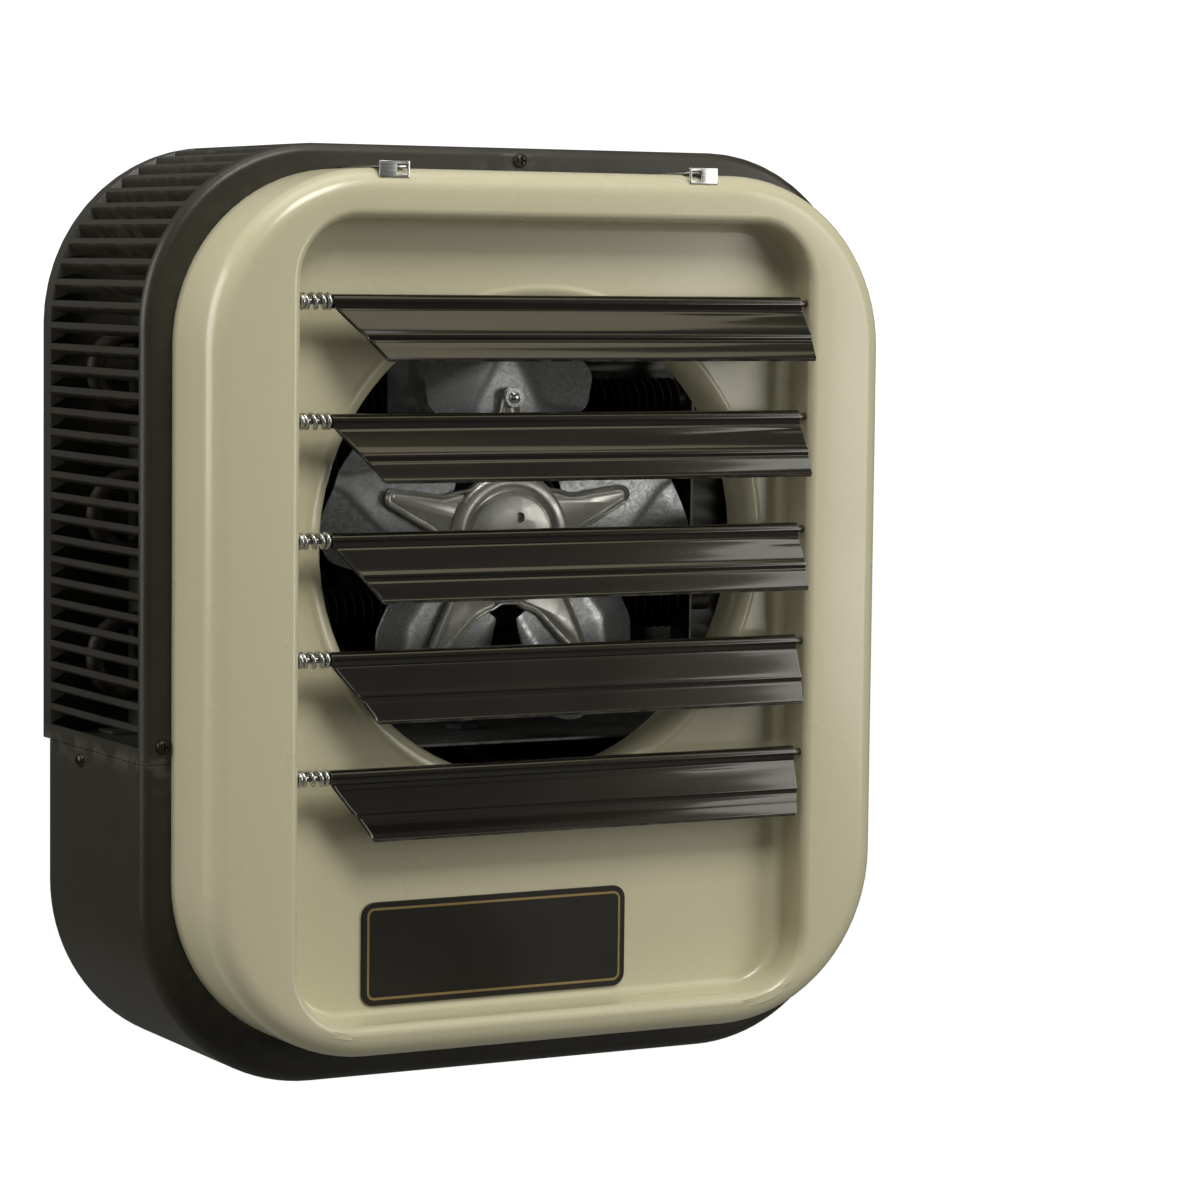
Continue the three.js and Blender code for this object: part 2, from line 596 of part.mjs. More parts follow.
/** Rings over the panel's drawn skin, from its back edge to the outlet's lip, sunk by depth. */
function panelSkin(sink) {
  const ring = (box, inset, y) =>
    roundedOutline(box, inset, 5, 6, 3).map(
      (point) => new THREE.Vector3(box.centreX + point.x, y, point.y),
    );
  const guide = ring(recessOutline, 0, 0);
  const outletRing = (radius, y) =>
    guide.map((point) => {
      const angle = Math.atan2(point.z - fanZ, point.x);
      return new THREE.Vector3(radius * Math.cos(angle), y, fanZ + radius * Math.sin(angle));
    });
  const rings = [ring(panelOutline, sink, frontY - SEAT_GAP)];
  const edgeY = panelFrontY + PANEL_EDGE_RADIUS;
  for (const turn of QUARTER) {
    const radius = PANEL_EDGE_RADIUS - sink;
    const inset = PANEL_EDGE_RADIUS - radius * Math.cos(turn);
    rings.push(ring(panelOutline, inset, edgeY - radius * Math.sin(turn)));
  }
  const lipY = panelFrontY + RECESS_LIP_RADIUS;
  for (const turn of QUARTER) {
    const radius = RECESS_LIP_RADIUS - sink;
    const inset = -RECESS_LIP_RADIUS + radius * Math.sin(turn);
    rings.push(ring(recessOutline, inset, lipY - radius * Math.cos(turn)));
  }
  const filletY = fieldY - RECESS_FILLET;
  for (const turn of QUARTER) {
    const radius = RECESS_FILLET + sink;
    const inset = RECESS_DRAFT + RECESS_FILLET - radius * Math.cos(turn);
    rings.push(ring(recessOutline, inset, filletY + radius * Math.sin(turn)));
  }
  const throatY = fieldY + OUTLET_LIP;
  for (const turn of QUARTER) {
    const radius = OUTLET_LIP - sink;
    const reach = outletRadius + OUTLET_LIP - radius * Math.sin(turn);
    rings.push(outletRing(reach, throatY - radius * Math.cos(turn)));
  }
  return rings;
}

function addFrontPanel() {
  const shell = ringBody([...panelSkin(0), ...panelSkin(SHEET).reverse()], true);
  const holes = [];
  for (let row = 0; row < LOUVRES; row += 1) {
    const z = firstLouvreZ - row * louvrePitch;
    for (const wall of [recessLeft, recessRight]) {
      const hole = bar("x", ROD_RADIUS + ROD_CLEARANCE, -4, 4);
      holes.push(hole.translate(wall, pivotY, z));
    }
  }
  for (const side of [-1, 1]) {
    holes.push(screwHole("z", -4, 3, side * PANEL_SCREW.x, panelScrewY, panelOutline.bottom));
  }
  add("front_panel", cut(shell, holes), CREAM);

  const plateBox = {
    halfWidth: PLATE.width / 2,
    top: PLATE.height / 2,
    bottom: -PLATE.height / 2,
    corner: PLATE.corner,
  };
  const plateBack = fieldY - SEAT_GAP;
  const plate = alongY(roundedOutline(plateBox, 0, 4), plateBack - PLATE.sheet, plateBack);
  const plateZ = recessOutline.bottom + PLATE.aboveRecessFoot;
  add("name_plate", plate.translate(PLATE.centreX, 0, plateZ), PLATE_BLACK);
}

/** Hooks welded to the flange: a strap over the panel's top wall and an ear before its shoulder. */
function addPanelClips() {
  const strapFoot = panelOutline.top + SEAT_GAP;
  const strapTop = strapFoot + CLIP.sheet;
  const earTop = panelOutline.top + CLIP.above;
  const earFoot = panelOutline.top - CLIP.below;
  const shoulder = Math.sqrt(PANEL_EDGE_RADIUS ** 2 - (PANEL_EDGE_RADIUS - CLIP.below) ** 2);
  const earBack = panelFrontY + PANEL_EDGE_RADIUS - shoulder - 2 * SEAT_GAP;
  const earFront = earBack - CLIP.sheet;
  const outline = [
    [frontY - SEAT_GAP, strapFoot],
    [frontY - SEAT_GAP, strapTop],
    [earBack, strapTop],
    [earBack, earTop],
    [earFront, earTop],
    [earFront, earFoot],
    [earBack, earFoot],
    [earBack, strapFoot],
  ].map(([y, z]) => new THREE.Vector2(y, z));
  const flatEnd = panelHalfWidth - panelOutline.corner;
  const clips = [
    { name: "left", centre: -flatEnd + CLIP_FROM_CORNERS.left, window: 1 },
    { name: "right", centre: flatEnd - CLIP_FROM_CORNERS.right, window: -1 },
  ];
  for (const { name, centre, window } of clips) {
    const body = alongX(outline, centre - CLIP.width / 2, centre + CLIP.width / 2);
    const left = centre + (window * CLIP.width) / 4 - CLIP.window / 2;
    const [low, high] = [earFoot + CLIP.frame, earTop - CLIP.frame];
    const opening = block(left, left + CLIP.window, earFront - 2, earBack + 2, low, high);
    add(`panel_clip_${name}`, cut(body, [opening]), ZINC);
  }
}

// ---------------------------------------------------------------- louvres
const beadRadius = ROD_RADIUS + ROD_CLEARANCE + LOUVRE_SHEET / 2;
const springCoil = ROD_RADIUS + SPRING_ROD_ROOM + SPRING_WIRE / 2; // radius of its centre line

/** A louvre hanging straight down from its pivot, with y negative towards the room. */
function louvreBody() {
  const line = [];
  for (let degrees = 250; degrees >= -50; degrees -= 30) {
    const angle = THREE.MathUtils.degToRad(degrees);
    line.push([-beadRadius * Math.cos(angle), beadRadius * Math.sin(angle)]);
  }
  const { drop, depth } = LOUVRE_STEP;
  const groove = beadRadius + LOUVRE_SHEET;
  line.push([-0.2, -groove - 1.05], [0.5, -groove - 3.25], [0, -groove - 5.85], [0, -drop]);
  line.push([depth, -drop - 1.4], [depth, 2 - LOUVRE_CHORD], [depth - 0.8, -LOUVRE_CHORD]);
  const sheet = alongX(sheetOutline(line, LOUVRE_SHEET), louvreLeft, louvreRight);
  const slantTop = louvreLeft + 0.5;
  const slant = [
    [louvreLeft - 5, -LOUVRE_TOP_EDGE],
    [louvreLeft - 5, -LOUVRE_CHORD - 5],
    [slantTop + LOUVRE_SLANT, -LOUVRE_CHORD - 5],
    [slantTop + LOUVRE_SLANT, -LOUVRE_CHORD - 0.4],
    [slantTop, -LOUVRE_TOP_EDGE],
  ].map(([x, z]) => new THREE.Vector2(x, z));
  return cut(sheet, [alongY(slant, -10, 10)]);
}

/** One unbroken wire: straight tail, coils, straight tail, round the rod from wall to louvre. */
function springPath() {
  const left = recessLeft + SEAT_GAP;
  const right = louvreLeft - SEAT_GAP;
  const [from, to] = [left + SPRING_WIRE, right - SPRING_WIRE];
  const steps = SPRING_COILS * SPRING_STEPS;
  const path = [new THREE.Vector3(left, 0, springCoil)];
  for (let step = 0; step <= steps; step += 1) {
    const angle = (step / SPRING_STEPS) * 2 * Math.PI;
    const x = from + ((to - from) * step) / steps;
    path.push(new THREE.Vector3(x, -springCoil * Math.sin(angle), springCoil * Math.cos(angle)));
  }
  path.push(new THREE.Vector3(right, 0, springCoil));
  return path;
}

function wireRings(path, radius, sides) {
  return path.map((point, index) => {
    const before = path[Math.max(index - 1, 0)];
    const after = path[Math.min(index + 1, path.length - 1)];
    const along = after.clone().sub(before).normalize();
    const outward = new THREE.Vector3(0, point.y, point.z).normalize();
    const across = along.clone().cross(outward).normalize();
    const normal = across.clone().cross(along).normalize();
    return Array.from({ length: sides }, (_, side) => {
      const angle = (side / sides) * 2 * Math.PI;
      return point
        .clone()
        .addScaledVector(normal, radius * Math.cos(angle))
        .addScaledVector(across, radius * Math.sin(angle));
    });
  });
}

/** Least distance between wire surfaces half a coil or more apart. */
function leastGap(path, wire) {
  let least = Infinity;
  path.forEach((point, index) => {
    for (let other = index + SPRING_STEPS / 2; other < path.length; other += 1) {
      least = Math.min(least, point.distanceTo(path[other]) - wire);
    }
  });
  return least;
}

function addLouvres() {
  const path = springPath();
  console.log(`spring's least gap to itself: ${leastGap(path, SPRING_WIRE).toFixed(2)} mm`);
  const rodLeft = recessLeft - SHEET - ROD_OVERHANG;
  const rodRight = recessRight + SHEET + ROD_OVERHANG;
  for (let row = 0; row < LOUVRES; row += 1) {
    const number = row + 1;
    const pivot = new THREE.Group();
    pivot.position.set(0, pivotY, firstLouvreZ - row * louvrePitch);
    heater.add(pivot);
    add(`louvre_rod_${number}`, bar("x", ROD_RADIUS, rodLeft, rodRight), ZINC, pivot);
    const spring = ringBody(wireRings(path, SPRING_WIRE / 2, SPRING_SIDES), false);
    add(`louvre_spring_${number}`, spring, ZINC, pivot);
    const louvre = add(`louvre_${number}`, louvreBody(), LOUVRE_BRONZE, pivot);
    louvre.rotation.x = -THREE.MathUtils.degToRad(LOUVRE_TILTS[row]);
  }
}

// ---------------------------------------------------------------- fan
/** The spider seen from the front: round-ended arms that run into each other in arches. */
function spiderOutline() {
  const points = [];
  const arm = (2 * Math.PI) / FAN_BLADES;
  const half = SPIDER_ARM_WIDTH / 2;
  const armRadius = fanRadius - SPIDER_SHORT_OF_TIP;
  const tip = armRadius - half;
  for (let blade = 0; blade < FAN_BLADES; blade += 1) {
    const centre = Math.PI / 2 + blade * arm;
    const local = [
      [half * 1.25, SPIDER_WAIST_RADIUS + 4],
      [half, tip],
      [half * 0.7, tip + half * 0.7],
      [0, armRadius],
      [-half * 0.7, tip + half * 0.7],
      [-half, tip],
      [-half * 1.25, SPIDER_WAIST_RADIUS + 4],
    ];
    for (const [aside, out] of local) {
      const angle = centre - Math.atan2(aside, out);
      const radius = Math.hypot(aside, out);
      points.push(new THREE.Vector2(radius * Math.cos(angle), radius * Math.sin(angle)));
    }
    const arch = centre + arm / 2;
    points.push(new THREE.Vector2(Math.cos(arch), Math.sin(arch)).multiplyScalar(SPIDER_WAIST_RADIUS));
  }
  return points;
}

/** A blade standing up from the axis: flat where the arm lies on it, then rising to its edges. */
function bladeBody() {
  const [across, out] = [8, 7];
  const front = [];
  for (let row = 0; row <= out; row += 1) {
    const part = row / out;
    const radius = BLADE_ROOT_RADIUS + (fanRadius - BLADE_ROOT_RADIUS) * part;
    const spread = Math.min(0.5 + 0.9 * part, 1) * BLADE_HALF_CHORD;
    const halfChord = part > 0.8 ? spread * Math.sqrt(1 - ((part - 0.8) / 0.26) ** 2) : spread;
    const pad = BLADE_PAD_HALF_WIDTH * Math.min(1, Math.max(0.15, (1 - part) / 0.5));
    for (let column = 0; column <= across; column += 1) {
      const steps = column - across / 2;
      const beyond = ((halfChord - pad) * (Math.abs(steps) - 1)) / (across / 2 - 1);
      const aside = steps ? Math.sign(steps) * (pad + beyond) : 0;
      const rise = steps ? Math.sign(steps) * beyond * BLADE_RISE : 0;
      const sag = (fanRadius - Math.sqrt(fanRadius ** 2 - aside ** 2)) * part;
      front.push(new THREE.Vector3(aside, rise, radius - sag));
    }
  }
  const count = front.length;
  const back = front.map((point) => point.clone().add(new THREE.Vector3(0, BLADE_SHEET, 0)));
  const stride = across + 1;
  const index = [];
  for (let row = 0; row < out; row += 1) {
    for (let column = 0; column < across; column += 1) {
      const a = row * stride + column;
      const [b, c, d] = [a + 1, a + stride, a + stride + 1];
      index.push(a, b, c, b, d, c);
      index.push(a + count, c + count, b + count, b + count, c + count, d + count);
    }
  }
  const rim = [];
  for (let column = 0; column < across; column += 1) rim.push(column);
  for (let row = 0; row < out; row += 1) rim.push(row * stride + across);
  for (let column = across; column > 0; column -= 1) rim.push(out * stride + column);
  for (let row = out; row > 0; row -= 1) rim.push(row * stride);
  rim.forEach((a, place) => {
    const b = rim[(place + 1) % rim.length];
    index.push(a, a + count, b, b, a + count, b + count);
  });
  const positions = [...front, ...back].flatMap((point) => [point.x, point.y, point.z]);
  const geometry = new THREE.BufferGeometry();
  geometry.setAttribute("position", new THREE.Float32BufferAttribute(positions, 3));
  geometry.setIndex(index);
  return facingOut(geometry);
}

function addFan() {
  const fan = new THREE.Group();
  fan.position.set(0, 0, fanZ);
  heater.add(fan);
  const shaftHole = bar("y", SHAFT_RADIUS + RUNNING_CLEARANCE, -CASING.depth, CASING.depth, 12);
  const plate = alongY(spiderOutline(), spiderFrontY, spiderBackY);
  add("fan_spider", cut(plate, [shaftHole]), GALVANISED, fan);
  const hub = bar("y", HUB_RADIUS, spiderBackY + SEAT_GAP, hubBackY, 20);
  add("fan_hub", cut(hub, [shaftHole]), ZINC, fan);
  for (let blade = 0; blade < FAN_BLADES; blade += 1) {
    const mesh = add(`fan_blade_${blade + 1}`, bladeBody(), GALVANISED, fan);
    mesh.position.y = spiderBackY + SEAT_GAP;
    mesh.rotation.y = (blade * 2 * Math.PI) / FAN_BLADES;
  }
  const shaft = bar("y", SHAFT_RADIUS, shaftFrontY, shaftFrontY + SHAFT_LENGTH, 12);
  add("motor_shaft", shaft, ZINC, fan);
}

// ---------------------------------------------------------------- motor
function addMotor() {
  const boreEnd = shaftFrontY + SHAFT_LENGTH + 1;
  const bore = SHAFT_RADIUS + RUNNING_CLEARANCE;
  const can = motorFrontY + MOTOR_BOSS_LENGTH;
  const profile = [
    [0, boreEnd],
    [bore, boreEnd],
    [bore, motorFrontY],
    [MOTOR_BOSS_RADIUS, motorFrontY],
    [MOTOR_BOSS_RADIUS + 2, can],
    [MOTOR_RADIUS - MOTOR_EDGE, can],
    [MOTOR_RADIUS, can + MOTOR_EDGE],
    [MOTOR_RADIUS, motorBackY - MOTOR_EDGE],
    [MOTOR_RADIUS - MOTOR_EDGE, motorBackY],
    [0, motorBackY],
  ];
  add("motor_body", turned(profile, 24).translate(0, 0, fanZ), MOTOR_BLACK);

  const strapY = motorBackY + SEAT_GAP + MOTOR_STRAP_SHEET / 2;
  const footY = strapY + MOTOR_STRAP_FOOT;
  const footZ = shelfTop + SEAT_GAP + MOTOR_STRAP_SHEET / 2;
  const headZ = -SHEET - SEAT_GAP - MOTOR_STRAP_SHEET / 2;
  const strapLine = [
    [footY, footZ],
    [strapY, footZ],
    [strapY, headZ],
    [footY, headZ],
  ];
  const outline = sheetOutline(strapLine, MOTOR_STRAP_SHEET);
  add("motor_strap", alongX(outline, -MOTOR_STRAP_WIDTH / 2, MOTOR_STRAP_WIDTH / 2), GALVANISED);
}

// ---------------------------------------------------------------- heating elements
const bendRadius = elementRunPitch / 2;

/** A finned hairpin: two straight runs, a return bend on the left, cold pins on the right. */
function elementBody() {
  const left = -elementHalfSpan - 5;
  const right = elementHalfSpan + ELEMENT_PIN;
  const pieces = [];
  for (const side of [-1, 1]) {
    const run = bar("x", ELEMENT_TUBE_RADIUS, left - 0.2, right, 8);
    pieces.push(run.translate(0, 0, side * bendRadius));
    for (let fin = 0; fin < ELEMENT_FINS; fin += 1) {
      const x = (fin / (ELEMENT_FINS - 1) - 0.5) * 2 * (elementHalfSpan - 12);
      const disc = bar("x", ELEMENT_FIN_RADIUS, x - ELEMENT_FIN_SHEET / 2, x + ELEMENT_FIN_SHEET / 2, 8);
      pieces.push(disc.translate(0, 0, side * bendRadius));
    }
  }
  const bend = new THREE.CatmullRomCurve3(
    Array.from({ length: 9 }, (_, step) => {
      const angle = Math.PI / 2 + (step / 8) * Math.PI;
      return new THREE.Vector3(left + bendRadius * Math.cos(angle), 0, bendRadius * Math.sin(angle));
    }),
  );
  const section = roundSection(ELEMENT_TUBE_RADIUS, 8);
  pieces.push(new THREE.ExtrudeGeometry(section, { steps: 8, bevelEnabled: false, extrudePath: bend }));
  return join(pieces);
}

function elementRunDrops() {
  return Array.from({ length: 2 * ELEMENTS }, (_, run) => ELEMENT_FIRST_DROP + run * elementRunPitch);
}

function addElements() {
  for (let number = 1; number <= ELEMENTS; number += 1) {
    const drop = ELEMENT_FIRST_DROP + (2 * number - 1.5) * elementRunPitch;
    const element = add(`heating_element_${number}`, elementBody(), ELEMENT_STEEL);
    element.position.set(0, elementY, -drop);
  }
  const holes = elementRunDrops().map((drop) =>
    bar("x", ELEMENT_TUBE_RADIUS + 2 * SEAT_GAP, -CASING.width, CASING.width).translate(0, elementY, -drop),
  );
  const { halfDepth, aboveFirstRun } = ELEMENT_BRACKET;
  const [yLow, yHigh] = [elementY - halfDepth, elementY + halfDepth];
  const foot = shelfTop + SEAT_GAP;
  for (const [name, side] of [["left", -1], ["right", 1]]) {
    const x = side * elementHalfSpan;
    const [low, high] = side < 0 ? [x - SHEET, x] : [x, x + SHEET];
    const [footLow, footHigh] = side < 0 ? [x - ELEMENT_BRACKET.foot, x] : [x, x + ELEMENT_BRACKET.foot];
    const plate = block(low, high, yLow, yHigh, foot, -ELEMENT_FIRST_DROP + aboveFirstRun);
    const base = block(footLow, footHigh, yLow, yHigh, foot, foot + SHEET);
    add(`element_bracket_${name}`, cut(join([plate, base]), holes), GALVANISED);
  }
}

// ---------------------------------------------------------------- wiring bay
function addContactor(top) {
  const { x, width, depth, height, baseHeight } = CONTACTOR;
  const tier = (inset, low, high) => {
    const [left, right] = [x - width / 2 + inset, x + width / 2 - inset];
    const [front, back] = [wiringY - depth / 2 + inset, wiringY + depth / 2 - inset];
    return block(left, right, front, back, low, high);
  };
  const tiers = [tier(0, top - baseHeight, top), tier(7, top - height, top - 1)];
  add("contactor", join(tiers), BLACK_PLASTIC);
}

function addTerminals(top) {
  const { x, width, depth, height, ways, floor } = TERMINALS;
  const left = x - width / 2;
  const [front, back] = [wiringY - depth / 2, wiringY + depth / 2];
  const strip = block(left, left + width, front, back, top - height, top);
  const way = width / ways;
  const pockets = Array.from({ length: ways }, (_, number) => {
    const middle = left + (number + 0.5) * way;
    const [low, high] = [middle - 0.36 * way, middle + 0.36 * way];
    return block(low, high, front - 1, back + 1, top - height - 1, top - floor);
  });
  add("terminal_block", cut(strip, pockets), BLACK_PLASTIC);
}

function addLead(top) {
  const hole = LEAD_RADIUS + GROMMET.wall;
  const bore = LEAD_RADIUS + SEAT_GAP;
  const seat = SHEET / 2 + SEAT_GAP;
  const neck = hole - 2 * SEAT_GAP;
  const brim = hole + GROMMET.lip;
  const profile = [
    [bore, -GROMMET.halfLength],
    [brim, 1 - GROMMET.halfLength],
    [brim, -seat],
    [neck, -seat],
    [neck, seat],
    [brim, seat],
    [brim, GROMMET.halfLength - 1],
    [bore, GROMMET.halfLength],
    [bore, -GROMMET.halfLength],
  ];
  const grommet = turned(profile, 12).rotateX(Math.PI / 2);
  add("lead_grommet", grommet.translate(0, leadY, (shelfTop + shelfUnder) / 2), BLACK_PLASTIC);

  // The lead runs straight down from the motor, through the grommet, and bends into the contactor.
  const leadTop = fanZ - MOTOR_RADIUS - 2 * SEAT_GAP;
  const leadEnd = CONTACTOR.x - CONTACTOR.width / 2 - SEAT_GAP;
  const entryZ = top - CONTACTOR.baseHeight / 2;
  const grommetFoot = shelfUnder - GROMMET.halfLength;
  const route = [
    [0, leadTop],
    [0, (leadTop + shelfTop) / 2],
    [0, shelfTop],
    [0, grommetFoot],
    [0, grommetFoot - LEAD_RADIUS],
    [7, entryZ + 3],
    [23, entryZ],
    [leadEnd, entryZ],
  ].map(([x, z]) => new THREE.Vector3(x, leadY, z));
  const extrudePath = new THREE.CatmullRomCurve3(route, false, "centripetal");
  const options = { steps: 20, bevelEnabled: false, extrudePath };
  const lead = new THREE.ExtrudeGeometry(roundSection(LEAD_RADIUS, 8), options);
  add("motor_lead", lead, BLACK_PLASTIC);
}

function addLimitSwitch() {
  const { x, behindFlange, radius, height } = LIMIT_SWITCH;
  const profile = [
    [0, SEAT_GAP],
    [radius, SEAT_GAP],
    [radius, height / 2 - 1],
    [radius - 4, height / 2],
    [radius - 4, height],
    [0, height],
  ];
  const limit = turned(profile, 16).rotateX(Math.PI / 2);
  add("limit_switch", limit.translate(x, frontY + behindFlange, shelfTop), BLACK_PLASTIC);
}

function addWiring() {
  const top = shelfUnder - SEAT_GAP;
  addContactor(top);
  addTerminals(top);
  addLead(top);
  addLimitSwitch();
}

addCasing();
addRearPanels();
addPartition();
addHangerNuts();
addFrontPanel();
addPanelClips();
addLouvres();
addFan();
addMotor();
addElements();
addWiring();
addScrews();

export default heater;
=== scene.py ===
"""Ceiling mounted fan heater: the looks of every piece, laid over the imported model.

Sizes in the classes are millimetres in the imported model's frame, and every mesh is made in metres.
Each sub-assembly is a class that holds its sizes, builds its pieces and gives them their finish.
"""
import json
import logging
import math
from dataclasses import dataclass, field
from enum import Enum
from typing import Callable, Optional, Sequence

import bmesh
import bpy
from mathutils import Matrix, Vector

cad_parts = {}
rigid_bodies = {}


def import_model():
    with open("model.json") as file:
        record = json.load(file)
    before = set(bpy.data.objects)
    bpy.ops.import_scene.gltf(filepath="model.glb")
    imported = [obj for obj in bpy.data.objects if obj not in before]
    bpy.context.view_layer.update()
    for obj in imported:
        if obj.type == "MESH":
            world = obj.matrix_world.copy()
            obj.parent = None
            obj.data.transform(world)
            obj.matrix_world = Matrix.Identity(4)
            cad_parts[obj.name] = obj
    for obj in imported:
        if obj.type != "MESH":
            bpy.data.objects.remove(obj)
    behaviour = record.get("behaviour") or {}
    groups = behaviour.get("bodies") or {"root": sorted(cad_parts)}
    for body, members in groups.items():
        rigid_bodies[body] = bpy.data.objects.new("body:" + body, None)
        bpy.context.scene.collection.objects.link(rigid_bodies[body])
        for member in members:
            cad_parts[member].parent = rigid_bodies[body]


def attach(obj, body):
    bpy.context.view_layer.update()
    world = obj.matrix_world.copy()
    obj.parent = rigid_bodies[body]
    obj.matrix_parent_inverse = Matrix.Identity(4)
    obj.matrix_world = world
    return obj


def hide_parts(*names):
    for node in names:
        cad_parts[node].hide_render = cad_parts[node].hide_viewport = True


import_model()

MM = 0.001
WELD_DISTANCE = 0.000002
BEVEL_FROM_DEGREES = 50.0
SENSOR_WIDTH = 36.0
CASING_FRONT, CASING_REAR, COVER_REAR = -59.0, 59.0, 51.0
FAN_HEIGHT = -172.5
LOUVRE_PIVOTS = (-67.4, -117.9, -168.4, -218.9, -269.4)
PIVOT_DEPTH = -95.5
ROD_WALLS = (-123.6, 126.2)
LOWER_SCREWS = (168.8, -257.4)
TOP_SCREW, SIDE_SCREW_DEPTH = -5.6, 11.5
REAR_SCREWS, COVER_SCREWS = (-95.0, -235.0), -300.0
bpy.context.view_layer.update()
LOG = logging.getLogger("fan_heater")
Point = tuple[float, float, float]
Ring = list[Point]
Socket = bpy.types.NodeSocket


class Tree:
    """A node tree with short calls for adding and joining its nodes."""

    def __init__(self, tree: bpy.types.NodeTree) -> None:
        """Work on a node tree."""
        self.tree = tree

    def fill(self, node: bpy.types.Node, inputs: dict) -> None:
        """Set or join a node's inputs.

        Args:
            node: the node.
            inputs: input name or number to a plain value or to another node's output.
        """
        for key, value in inputs.items():
            if isinstance(value, Socket):
                self.tree.links.new(value, node.inputs[key])
            else:
                node.inputs[key].default_value = value

    def add(self, kind: str, inputs: Optional[dict] = None, **settings: object) -> bpy.types.Node:
        """Add a node.

        Args:
            kind: the node's type name, without "ShaderNode".
            inputs: as for fill.
            settings: properties set on the node itself.

        Returns:
            The new node.
        """
        node = self.tree.nodes.new("ShaderNode" + kind)
        for key, value in settings.items():
            setattr(node, key, value)
        self.fill(node, inputs or {})
        return node

    def place(self) -> Socket:
        """Returns: coordinates in the piece's own space."""
        return self.add("TexCoord").outputs["Object"]

    def ramp(self, source: Socket, low: float, high: float) -> Socket:
        """Returns: a value spread smoothly over 0 to 1 between two limits."""
        limits = {"From Min": low, "From Max": high, "Value": source}
        return self.add("MapRange", limits, interpolation_type="SMOOTHSTEP").outputs[0]

    def noise(self, scale: object, detail: float, **more: float) -> Socket:
        """Returns: a noise's value in the piece's own space, with more inputs by name."""
        inputs = {"Vector": self.place(), "Scale": scale, "Detail": detail, **more}
        return self.add("TexNoise", inputs).outputs[0]

    def mix(self, factor: Socket, first: object, second: object) -> Socket:
        """Returns: two colours, plain or outputs, blended by how much of the second is wanted."""
        first, second = ((*each, 1.0) if isinstance(each, tuple) else each for each in (first, second))
        return self.add("Mix", {0: factor, 6: first, 7: second}, data_type="RGBA").outputs[2]

    def math(self, operation: str, first: object, second: object) -> Socket:
        """Returns: two values or outputs combined by a Math node's operation."""
        return self.add("Math", {0: first, 1: second}, operation=operation).outputs[0]

    def weigh(self, first: Socket, share: float, second: Socket) -> Socket:
        """Returns: two values summed, the first by its share and the second by the rest."""
        return self.math("ADD", self.math("MULTIPLY", first, share),
                         self.math("MULTIPLY", second, 1.0 - share))


def baked_coat(tree: Tree, fine: Socket, slow: Socket) -> tuple[Socket, ...]:
    """Orange peel of a baked enamel: a fine ripple with slow patches of gloss and tone.

    Args:
        tree: the group's tree.
        fine: the ripple's scale.
        slow: the patches' scale.

    Returns:
        Its height, gloss and tone.
    """
    ripple, patches = tree.noise(fine, 2.0), tree.noise(slow, 3.0)
    height = tree.math("ADD", ripple, tree.math("MULTIPLY", tree.noise(2600.0, 1.0), 0.12))
    return height, tree.ramp(patches, 0.3, 0.7), tree.weigh(ripple, 0.65, patches)


def zinc_spangle(tree: Tree, scale: Socket) -> tuple[Socket, ...]:
    """Frosty crystals of hot dipped zinc, each with its own tone.

    Args:
        tree: the group's tree.
        scale: the crystals' scale.

    Returns:
        Its tone and height.
    """
    drift = tree.noise(90.0, 2.0).node.outputs["Color"]
    bend = tree.add("VectorMath", {0: drift, "Scale": 0.006}, operation="SCALE")
    shifted = tree.add("VectorMath", {0: tree.place(), 1: bend.outputs[0]})
    cells = tree.add("TexVoronoi", {"Vector": shifted.outputs[0], "Scale": scale})
    tone = tree.add("SeparateColor", {0: cells.outputs["Color"]}).outputs[0]
    speckled = tree.weigh(tone, 0.6, tree.noise(900.0, 3.0))
    return speckled, tree.math("MULTIPLY", cells.outputs["Distance"], 0.5)


def drawn_grain(tree: Tree, scale: Socket) -> tuple[Socket, ...]:
    """Long scratches left along X by rolling and drawing.

    Args:
        tree: the group's tree.
        scale: the scratches' scale.

    Returns:
        Its height and tone.
    """
    long = tree.add("Mapping", {"Vector": tree.place(), "Scale": (0.03, 1.0, 1.0)})
    lines = tree.add("TexNoise", {"Vector": long.outputs[0], "Scale": scale, "Detail": 3.0})
    return lines.outputs[0], tree.ramp(lines.outputs[0], 0.35, 0.65)


def settled_dust(tree: Tree, amount: Socket) -> tuple[Socket, ...]:
    """Thin dust, thickest on faces that look up.

    Args:
        tree: the group's tree.
        amount: how much dust lies there.

    Returns:
        Its mask.
    """
    up = tree.add("SeparateXYZ", {0: tree.add("NewGeometry").outputs["Normal"]}).outputs[2]
    drift = tree.noise(38.0, 6.0, Roughness=0.65)
    upward = tree.math("MULTIPLY", tree.ramp(up, 0.1, 1.0), tree.ramp(drift, 0.35, 0.75))
    film = tree.math("MULTIPLY", tree.ramp(drift, 0.4, 0.8), 0.12)
    return (tree.math("MULTIPLY", tree.math("ADD", upward, film), amount),)


def edge_wear_and_highlight_mask(tree: Tree, amount: Socket) -> tuple[Socket, ...]:
    """Edges where handling has thinned the coat, lightened also as a painted highlight along edges that
    catch the light.

    Args:
        tree: the group's tree.
        amount: how strongly they are lightened.

    Returns:
        Their mask.
    """
    # Convex edges picked out by pointiness: wear on the coat and also a painted highlight.
    edge = tree.ramp(tree.add("NewGeometry").outputs["Pointiness"], 0.53, 0.62)
    mask = tree.math("MULTIPLY", edge, tree.ramp(tree.noise(120.0, 5.0), 0.4, 0.62))
    return (tree.math("MULTIPLY", mask, amount),)


